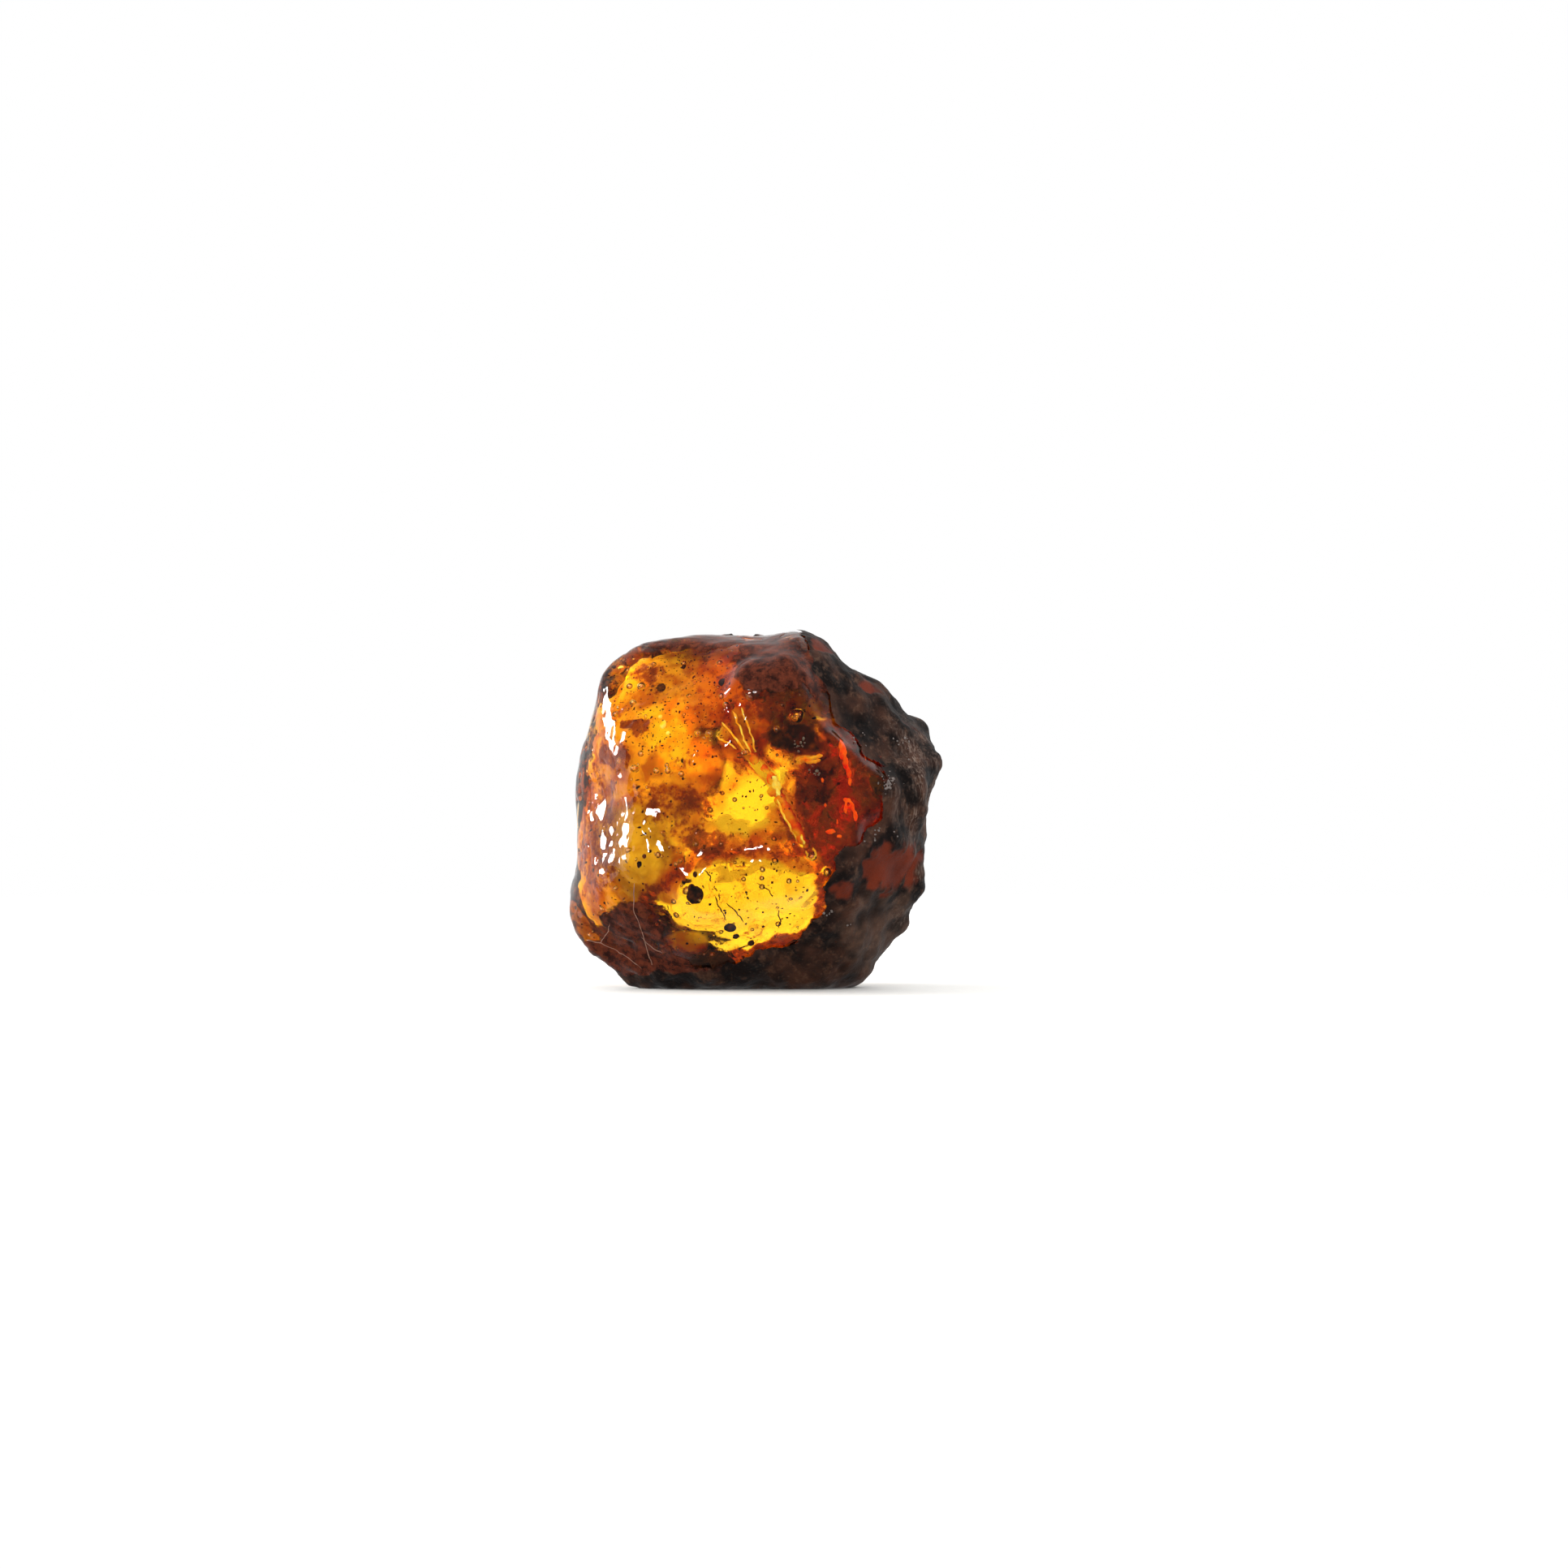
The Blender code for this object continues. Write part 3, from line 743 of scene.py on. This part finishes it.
def set_inputs(tree, made, inputs):
    """Gives inputs of a node a link to another node's output, a hex colour or another value."""
    for name, value in inputs.items():
        if isinstance(value, bpy.types.NodeSocket):
            tree.links.new(value, made.inputs[name])
        elif isinstance(value, str):
            made.inputs[name].default_value = linear(value)
        else:
            made.inputs[name].default_value = value


def node(tree, kind, inputs=None, **settings):
    """Adds a node with its settings and inputs, and returns its outputs."""
    made = tree.nodes.new("ShaderNode" + kind)
    for name, value in settings.items():
        setattr(made, name, value)
    set_inputs(tree, made, inputs or {})
    return made.outputs


def new_material(name):
    """A material, its nodes, its shader and output, and the place in the object for its patterns."""
    material = bpy.data.materials.new(name)
    material.use_nodes = True
    tree = material.node_tree
    place = node(tree, "TexCoord")["Object"]
    return material, tree, tree.nodes["Principled BSDF"], tree.nodes["Material Output"], place


def clear_amber():
    """Fossil resin, worn smooth by water: clear, honey yellow to orange with depth, and very glossy."""
    material, tree, shader, output, place = new_material("clear_amber")
    # Fine scratches and frosting from wear, 0.15 mm apart, which only soften its reflections.
    wear = node(tree, "TexNoise", {"Vector": place, "Scale": 1 / (0.15 * MM), "Detail": 4.0})["Fac"]
    bump = node(tree, "Bump", {"Height": wear, "Strength": 0.25, "Distance": 0.01 * MM})["Normal"]
    frosted = node(tree, "MapRange",
                   {"Value": wear, "From Min": 0.5, "From Max": 0.7, "To Min": 0.01, "To Max": 0.06})[0]
    set_inputs(tree, shader, {"Base Color": "#FFF8E8", "Transmission Weight": 1.0,
                              "IOR": RESIN_IOR, "Normal": bump, "Roughness": frosted})
    # Over 15 mm of resin, daylight keeps over half its red, a third of its green and almost no blue.
    depth_tint = node(tree, "VolumeAbsorption", {"Color": (0.89, 0.78, 0.0, 1), "Density": 340})
    set_inputs(tree, output, {"Volume": depth_tint[0]})
    return material


def crust_and_skin():
    """Weathered amber crust: black-brown, dull and gritty, but thin and glossy where it is a skin."""
    material, tree, shader, _, place = new_material("weathered_amber_crust")
    kept = ("crust", "worn", "skin", "rim", "silt", "hollow")
    shares = [node(tree, "Attribute", attribute_name=name)["Fac"] for name in kept]
    crust, worn, skin, rim, silt, hollow = shares
    # Blotches 2 mm wide, flakes 0.6 mm wide and grit of 0.2 mm.
    blotch = node(tree, "TexNoise", {"Vector": place, "Scale": 1 / (2 * MM), "Detail": 5.0})["Fac"]
    flake = node(tree, "TexNoise",
                 {"Vector": place, "Scale": 1 / (0.6 * MM), "Detail": 6.0, "Roughness": 0.7})["Fac"]
    grit = node(tree, "TexNoise", {"Vector": place, "Scale": 1 / (0.2 * MM), "Detail": 3.0})["Fac"]
    # Fibres 0.2 mm wide and eight times as long, which run up the rim in tufts. Their pale grey is partly
    # their own colour and partly a painted highlight on the fibre ridges.
    upright = node(tree, "VectorMath", {0: place, 1: (1.0, 1.0, 0.12)}, operation="MULTIPLY")[0]
    strand = node(tree, "TexNoise",
                  {"Vector": upright, "Scale": 1 / (0.2 * MM), "Detail": 4.0, "Distortion": 1.5})["Fac"]
    amount = node(tree, "MapRange", {"Value": blotch, "From Min": 0.44, "From Max": 0.64})[0]
    colour = node(tree, "Mix", {0: amount, 6: "#120907", 7: "#3A2014"}, data_type="RGBA")[2]
    amount = node(tree, "MapRange",
                  {"Value": flake, "From Min": 0.52, "From Max": 0.72, "To Max": 0.7})[0]
    colour = node(tree, "Mix", {0: amount, 6: colour, 7: "#553A2A"}, data_type="RGBA")[2]
    amount = node(tree, "Math", {0: silt, 1: flake}, operation="MULTIPLY")[0]
    colour = node(tree, "Mix", {0: amount, 6: colour, 7: "#4E382C"}, data_type="RGBA")[2]
    # Painted shade: the dishes between the knobs darkened almost to black.
    amount = node(tree, "Math", {0: hollow, 1: 0.7}, operation="MULTIPLY")[0]
    colour = node(tree, "Mix", {0: amount, 6: colour, 7: "#060303"}, data_type="RGBA")[2]
    amount = node(tree, "MapRange",
                  {"Value": strand, "From Min": 0.48, "From Max": 0.72, "To Max": 0.9})[0]
    tufts = node(tree, "MapRange", {"Value": blotch, "From Min": 0.42, "From Max": 0.60})[0]
    fibres = node(tree, "Math", {0: amount, 1: tufts}, operation="MULTIPLY")[0]
    fibres = node(tree, "Math", {0: fibres, 1: rim}, operation="MULTIPLY")[0]
    colour = node(tree, "Mix", {0: fibres, 6: colour, 7: "#6C5C52"}, data_type="RGBA")[2]
    amount = node(tree, "MapRange",
                  {"Value": grit, "From Min": 0.62, "From Max": 0.75, "To Max": 0.2})[0]
    colour = node(tree, "Mix", {0: amount, 6: colour, 7: "#6A5648"}, data_type="RGBA")[2]
    red_brown = node(tree, "Mix", {0: blotch, 6: "#340D04", 7: "#702506"}, data_type="RGBA")[2]
    colour = node(tree, "Mix", {0: worn, 6: colour, 7: red_brown}, data_type="RGBA")[2]
    amount = node(tree, "MapRange", {"Value": flake, "From Min": 0.4, "From Max": 0.66})[0]
    skin_colour = node(tree, "Mix", {0: amount, 6: "#200E0B", 7: "#56281A"}, data_type="RGBA")[2]
    edge = node(tree, "Math", {0: flake, 1: 0.3, 2: crust}, operation="MULTIPLY_ADD")[0]
    crusted = node(tree, "MapRange", {"Value": edge, "From Min": 0.6, "From Max": 0.68})[0]
    colour = node(tree, "Mix", {0: crusted, 6: skin_colour, 7: colour}, data_type="RGBA")[2]
    edge = node(tree, "Math", {0: flake, 1: 0.9, 2: skin}, operation="MULTIPLY_ADD")[0]
    skinned = node(tree, "MapRange",
                   {"Value": edge, "From Min": 0.7, "From Max": 1.1, "To Max": 0.96})[0]
    cover = node(tree, "Math", {0: crusted, 1: skinned}, operation="MAXIMUM")[0]
    matt = node(tree, "MapRange", {"Value": worn, "To Min": 0.55, "To Max": 0.6})[0]
    rough = node(tree, "Mix", {0: crusted, 2: 0.08, 3: matt})[0]
    relief = node(tree, "Math", {0: flake, 1: 0.6, 2: grit}, operation="MULTIPLY_ADD")[0]
    strength = node(tree, "Math", {0: crusted, 1: 0.6}, operation="MULTIPLY")[0]
    bump = node(tree, "Bump", {"Height": relief, "Strength": strength, "Distance": 0.06 * MM})["Normal"]
    set_inputs(tree, shader, {"Base Color": colour, "Alpha": cover, "Roughness": rough, "IOR": 1.5,
                              "Specular IOR Level": 0.14, "Normal": bump})
    return material


def tint_and_mottle():
    """Oxidised resin a little under the surface: orange to red, with smoky brown clouds and flecks.

    It filters the light that comes through it, so that the clear places stay brightest.
    """
    material, tree, shader, output, place = new_material("oxidised_resin")
    kept = ("orange", "red", "brown")
    orange, red, brown = [node(tree, "Attribute", attribute_name=name)["Fac"] for name in kept]
    # Clouds of 1.6 mm with wisps down to 0.1 mm.
    cloud = node(tree, "TexNoise",
                 {"Vector": place, "Scale": 1 / (1.6 * MM), "Detail": 8.0, "Roughness": 0.68})["Fac"]
    wisp = node(tree, "TexNoise",
                {"Vector": place, "Scale": 1 / (0.8 * MM), "Detail": 6.0, "Roughness": 0.6})["Fac"]
    uneven = node(tree, "MapRange",
                  {"Value": wisp, "From Min": 0.3, "From Max": 0.7, "To Min": 0.55, "To Max": 1.1})[0]
    amount = node(tree, "Math", {0: orange, 1: uneven}, operation="MULTIPLY", use_clamp=True)[0]
    tint = node(tree, "Mix", {0: amount, 6: (1, 1, 1, 1), 7: (0.92, 0.38, 0.10, 1)}, data_type="RGBA")[2]
    amount = node(tree, "Math", {0: red, 1: uneven}, operation="MULTIPLY", use_clamp=True)[0]
    tint = node(tree, "Mix", {0: amount, 6: tint, 7: (0.50, 0.05, 0.01, 1)}, data_type="RGBA")[2]
    # Peppering of 0.3 mm.
    pepper = node(tree, "TexNoise",
                  {"Vector": place, "Scale": 1 / (0.3 * MM), "Detail": 3.0, "Roughness": 0.6})["Fac"]
    cloud = node(tree, "Mix", {0: 0.35, 2: cloud, 3: pepper})[0]
    dense = node(tree, "Math", {0: brown, 1: 0.4, 2: cloud}, operation="MULTIPLY_ADD")[0]
    stain = node(tree, "MapRange", {"Value": dense, "From Min": 0.60, "From Max": 0.72},
                 interpolation_type="SMOOTHSTEP")[0]
    core = node(tree, "MapRange", {"Value": dense, "From Min": 0.68, "From Max": 0.92})[0]
    smoky = node(tree, "Mix", {0: core, 6: (0.50, 0.22, 0.06, 1), 7: (0.10, 0.02, 0.01, 1)},
                 data_type="RGBA")[2]
    tint = node(tree, "Mix", {0: stain, 6: tint, 7: smoky}, data_type="RGBA", blend_type="MULTIPLY")[2]
    clear = node(tree, "BsdfTransparent", {"Color": tint})[0]
    dust = node(tree, "Mix", {0: core, 6: "#9A5A22", 7: "#3A1C14"}, data_type="RGBA")[2]
    set_inputs(tree, shader, {"Base Color": dust, "Roughness": 1.0, "Specular IOR Level": 0.0})
    amount = node(tree, "Math", {0: stain, 1: 0.2}, operation="MULTIPLY")[0]
    mixed = node(tree, "MixShader", {0: amount, 1: clear, 2: shader.outputs[0]})[0]
    set_inputs(tree, output, {"Surface": mixed})
    return material


def cloudy_amber():
    """Amber clouded by tiny bubbles: it scatters light and glows in honey, butterscotch and olive."""
    material, tree, shader, output, place = new_material("cloudy_amber")
    kept = ("cloudy", "yellow", "olive")
    cloudy, yellow, olive = [node(tree, "Attribute", attribute_name=name)["Fac"] for name in kept]
    # Wisps 1.2 mm wide.
    wisp = node(tree, "TexNoise", {"Vector": place, "Scale": 1 / (1.2 * MM), "Detail": 6.0})["Fac"]
    amount = node(tree, "MapRange", {"Value": wisp, "From Min": 0.42, "From Max": 0.58})[0]
    honey = node(tree, "Mix", {0: amount, 6: "#B86804", 7: "#E4A824"}, data_type="RGBA")[2]
    butter = node(tree, "Mix", {0: amount, 6: "#F09800", 7: "#FFCC20"}, data_type="RGBA")[2]
    green = node(tree, "Mix", {0: amount, 6: "#A8780C", 7: "#C8A028"}, data_type="RGBA")[2]
    colour = node(tree, "Mix", {0: yellow, 6: honey, 7: butter}, data_type="RGBA")[2]
    colour = node(tree, "Mix", {0: olive, 6: colour, 7: green}, data_type="RGBA")[2]
    set_inputs(tree, shader, {"Base Color": colour, "Roughness": 1.0, "Specular IOR Level": 0.0,
                              "Subsurface Weight": 1.0, "Subsurface Radius": (1.0, 0.9, 0.3),
                              "Subsurface Scale": 0.7 * MM})
    dense = node(tree, "Math", {0: wisp, 1: 0.6, 2: cloudy}, operation="MULTIPLY_ADD")[0]
    veil = node(tree, "MapRange", {"Value": dense, "From Min": 0.4, "From Max": 1.1, "To Max": 0.96},
                interpolation_type="SMOOTHSTEP")[0]
    clear = node(tree, "BsdfTransparent")[0]
    mixed = node(tree, "MixShader", {0: veil, 1: clear, 2: shader.outputs[0]})[0]
    set_inputs(tree, output, {"Surface": mixed})
    return material


def painted_glint_amber(name, deep, pale):
    """Walls of cracks with painted glints: their bright colours stand in for the light the cracks reflect;
    they also scatter the light running through the resin, so they look lit from inside.
    """
    material, tree, shader, output, place = new_material(name)
    wisp = node(tree, "TexNoise", {"Vector": place, "Scale": 1 / (0.5 * MM), "Detail": 3.0})["Fac"]
    amount = node(tree, "MapRange", {"Value": wisp, "From Min": 0.35, "From Max": 0.65})[0]
    # Painted glint: the deep and pale colours stand in for light that the crack reflects.
    colour = node(tree, "Mix", {0: amount, 6: deep, 7: pale}, data_type="RGBA")[2]
    set_inputs(tree, shader, {"Base Color": colour, "Roughness": 1.0, "Specular IOR Level": 0.0})
    through = node(tree, "BsdfTranslucent", {"Color": colour})[0]
    mixed = node(tree, "MixShader", {0: 0.4, 1: shader.outputs[0], 2: through})[0]
    set_inputs(tree, output, {"Surface": mixed})
    return material


def tinted_resin(name, colour, density):
    """Darker resin sealed in the rest: the same substance, so light isn't bent between the two."""
    material, tree, shader, output, place = new_material(name)
    # Swirls 1.5 mm wide, left from when it flowed.
    swirl = node(tree, "TexNoise",
                 {"Vector": place, "Scale": 1 / (1.5 * MM), "Detail": 3.0, "Distortion": 1.0})["Fac"]
    uneven = node(tree, "Mix", {0: swirl, 6: "#FFFFFF", 7: "#F0A890"}, data_type="RGBA")[2]
    set_inputs(tree, shader, {"Base Color": uneven, "Transmission Weight": 1.0, "Roughness": 0.0,
                              "IOR": 1.0})
    depth_tint = node(tree, "VolumeAbsorption", {"Color": colour, "Density": density})
    set_inputs(tree, output, {"Volume": depth_tint[0]})
    return material


def sealed_soil():
    """Soil and charred wood in the resin: wetted by it, so it is dark and has no shine."""
    material, tree, shader, _, place = new_material("sealed_soil")
    grain = node(tree, "TexNoise", {"Vector": place, "Scale": 1 / (0.4 * MM), "Detail": 4.0})["Fac"]
    amount = node(tree, "MapRange", {"Value": grain, "From Min": 0.4, "From Max": 0.65})[0]
    colour = node(tree, "Mix", {0: amount, 6: "#120806", 7: "#4A2415"}, data_type="RGBA")[2]
    set_inputs(tree, shader, {"Base Color": colour, "Roughness": 0.9, "Specular IOR Level": 0.0})
    return material


def quartz_sand():
    """Grains of quartz sand: grey, stained by the crust, with a glassy glint."""
    material, tree, shader, _, place = new_material("quartz_sand")
    grain = node(tree, "TexNoise", {"Vector": place, "Scale": 1 / (0.2 * MM), "Detail": 3.0})["Fac"]
    colour = node(tree, "Mix", {0: grain, 6: "#2E2622", 7: "#7C716C"}, data_type="RGBA")[2]
    set_inputs(tree, shader, {"Base Color": colour, "Roughness": 0.35, "IOR": 1.54})
    return material


def gas_in_resin():
    """Gas bubbles: light leaves the resin for gas, so they show as bright rings with dark edges."""
    material, tree, shader, _, place = new_material("gas_in_resin")
    # Some walls are dusted with brown from the gas, in patches of 0.3 mm.
    dust = node(tree, "TexNoise", {"Vector": place, "Scale": 1 / (0.3 * MM), "Detail": 2.0})["Fac"]
    amount = node(tree, "MapRange", {"Value": dust, "From Min": 0.5, "From Max": 0.7})[0]
    wall = node(tree, "Mix", {0: amount, 6: "#FFFFFF", 7: "#D8A070"}, data_type="RGBA")[2]
    set_inputs(tree, shader, {"Base Color": wall, "Transmission Weight": 1.0, "Roughness": 0.0,
                              "IOR": 1 / RESIN_IOR})
    return material


def dried_thread():
    """Threads of resin that dried on the surface: pale brown with a soft shine."""
    material, tree, shader, _, place = new_material("dried_resin_thread")
    grain = node(tree, "TexNoise", {"Vector": place, "Scale": 1 / (0.5 * MM), "Detail": 2.0})["Fac"]
    colour = node(tree, "Mix", {0: grain, 6: "#4E2A20", 7: "#94705E"}, data_type="RGBA")[2]
    set_inputs(tree, shader, {"Base Color": colour, "Roughness": 0.3, "IOR": RESIN_IOR})
    return material


# Studio --------------------------------------------------


def pale_floor():
    """A pale, matt sheet of card that fades into the light round it."""
    bm = bmesh.new()
    bmesh.ops.create_circle(bm, cap_ends=True, segments=96, radius=FLOOR_RADIUS)
    floor = link_object("floor", mesh_of(bm, "floor"))
    material, tree, shader, output, place = new_material("pale_card")
    # Paper grain of 0.5 mm.
    grain = node(tree, "TexNoise", {"Vector": place, "Scale": 1 / (0.5 * MM), "Detail": 3.0})["Fac"]
    card = node(tree, "Mix", {0: grain, 6: "#C4C3C0", 7: "#CECDCA"}, data_type="RGBA")[2]
    set_inputs(tree, shader, {"Base Color": card, "Roughness": 0.7})
    away = node(tree, "VectorMath", {0: place}, operation="LENGTH")["Value"]
    near, far = FLOOR_FADE
    amount = node(tree, "MapRange", {"Value": away, "From Min": near, "From Max": far},
                  interpolation_type="SMOOTHSTEP")[0]
    clear = node(tree, "BsdfTransparent")[0]
    mixed = node(tree, "MixShader", {0: amount, 1: shader.outputs[0], 2: clear})[0]
    set_inputs(tree, output, {"Surface": mixed})
    floor.data.materials.append(material)
    floor.visible_glossy = False


def studio_light():
    """Soft light all round, which shines through the nugget.

    The front is kept dark for reflections, as black cards round a lens keep it, so that the resin
    doesn't look milky.
    """
    world = bpy.data.worlds.new("studio")
    bpy.context.scene.world = world
    world.use_nodes = True
    tree = world.node_tree
    background = tree.nodes["Background"]
    way = node(tree, "TexCoord")["Generated"]
    backward = node(tree, "SeparateXYZ", {0: way})["Y"]
    inner, mirrored = [
        node(tree, "MapRange", {"Value": backward, "From Min": start, "From Max": 0.6, "To Min": front,
                                "To Max": behind}, interpolation_type="SMOOTHSTEP")[0]
        for start, front, behind in (SHINES_THROUGH, MIRRORED)
    ]
    path = node(tree, "LightPath")
    strength = node(tree, "Mix", {0: path["Is Glossy Ray"], 2: ALL_ROUND, 3: mirrored})[0]
    strength = node(tree, "Mix", {0: path["Is Transmission Ray"], 2: strength, 3: inner})[0]
    strength = node(tree, "Mix", {0: path["Is Camera Ray"], 2: strength, 3: BACKDROP})[0]
    set_inputs(tree, background, {"Strength": strength, "Color": "#FFFFFF"})
    for name, (place, size, power) in LAMPS.items():
        light = bpy.data.lights.new(name, "AREA")
        light.shape = "ELLIPSE"
        light.size, light.size_y = size
        light.energy = power
        lamp = link_object(name, light)
        lamp.location = place
        lamp.rotation_euler = (Vector(LAMPS_AIM) - Vector(place)).to_track_quat("-Z", "Y").to_euler()
        lamp.visible_camera = False


def level_camera():
    data = bpy.data.cameras.new("camera")
    data.lens = LENS_MM
    data.sensor_width = SENSOR_MM
    data.clip_start = NEAREST_SEEN
    made = link_object("camera", data)
    made.location = CAMERA_PLACE
    made.rotation_euler = (math.pi / 2, 0, 0)
    bpy.context.scene.camera = made


def main():
    lump = clear_lump()
    crust = weathered_crust()
    stained_layer()
    cloudy_core()
    depths = Depths(lump)
    # Over 6 mm this red keeps two fifths of the red light and almost no green.
    cherry = tinted_resin("cherry_resin", (0.70, 0.0, 0.0, 1), 500)
    body("cherry_flow", CHERRY_FLOW, depths, cherry, ragged=0.5, grain=1.3, seed=5.0)
    # Painted glow along the crack under the seam.
    lit = painted_glint_amber("painted_glint_seam", "#FF7000", "#FFD020")
    body("seam_glow", SEAM_GLOW, depths, lit, ragged=0.14, grain=0.5, seed=12.0, face=0.07)
    # Painted glints along the cracks in the red flow.
    flame = painted_glint_amber("painted_glint_flames", "#FF2400", "#FF7A14")
    flames = [(x, z, FLAME_DEPTH, (wide, FLAME_THICK, tall)) for x, z, wide, tall in FLAMES]
    body("flame_streaks", flames, depths, flame, ragged=0.10, grain=0.35, seed=11.0, face=0.06)
    # Painted hot spots of gathered light.
    pale = painted_glint_amber("painted_hot_spot_amber", "#FFD820", "#FFFF90")
    body("painted_hot_spots", HOT_SPOT_LUMPS, depths, pale, ragged=0.12, grain=0.4, seed=9.0, face=0.06)
    soil = sealed_soil()
    body("shoulder_soil", SHOULDER_SOIL, depths, soil, ragged=0.5, grain=0.8, seed=7.0)
    body("corner_soil", CORNER_SOIL, depths, soil, ragged=0.5, grain=0.8, seed=8.0)
    gas_bubbles(depths)
    soil_specks(depths)
    quartz_grit(depths, Depths(crust))
    threads("dark_hairs", HAIRS, depths, soil, depth=0.8, radius=0.035, bend=0.05, seed=3)
    # Painted glints along the seam's strands.
    bright = painted_glint_amber("painted_glint_strands", "#FFB000", "#FFF060")
    threads("seam_strands", SEAM_STRANDS, depths, bright, depth=0.4, radius=0.06, bend=0.06, seed=5)
    # Painted glint on the sliver.
    orange = painted_glint_amber("painted_glint_sliver", "#FF7A00", "#FFC030")
    threads("sliver", SLIVER, depths, orange, depth=0.45, radius=0.12, bend=0.04, seed=7)
    dried = dried_thread()
    threads("surface_threads", SURFACE_THREADS, depths, dried, depth=-0.03, radius=0.03, bend=0.03, seed=4)
    pale_floor()
    studio_light()
    level_camera()
    bpy.context.scene.view_settings.view_transform = "Standard"


main()
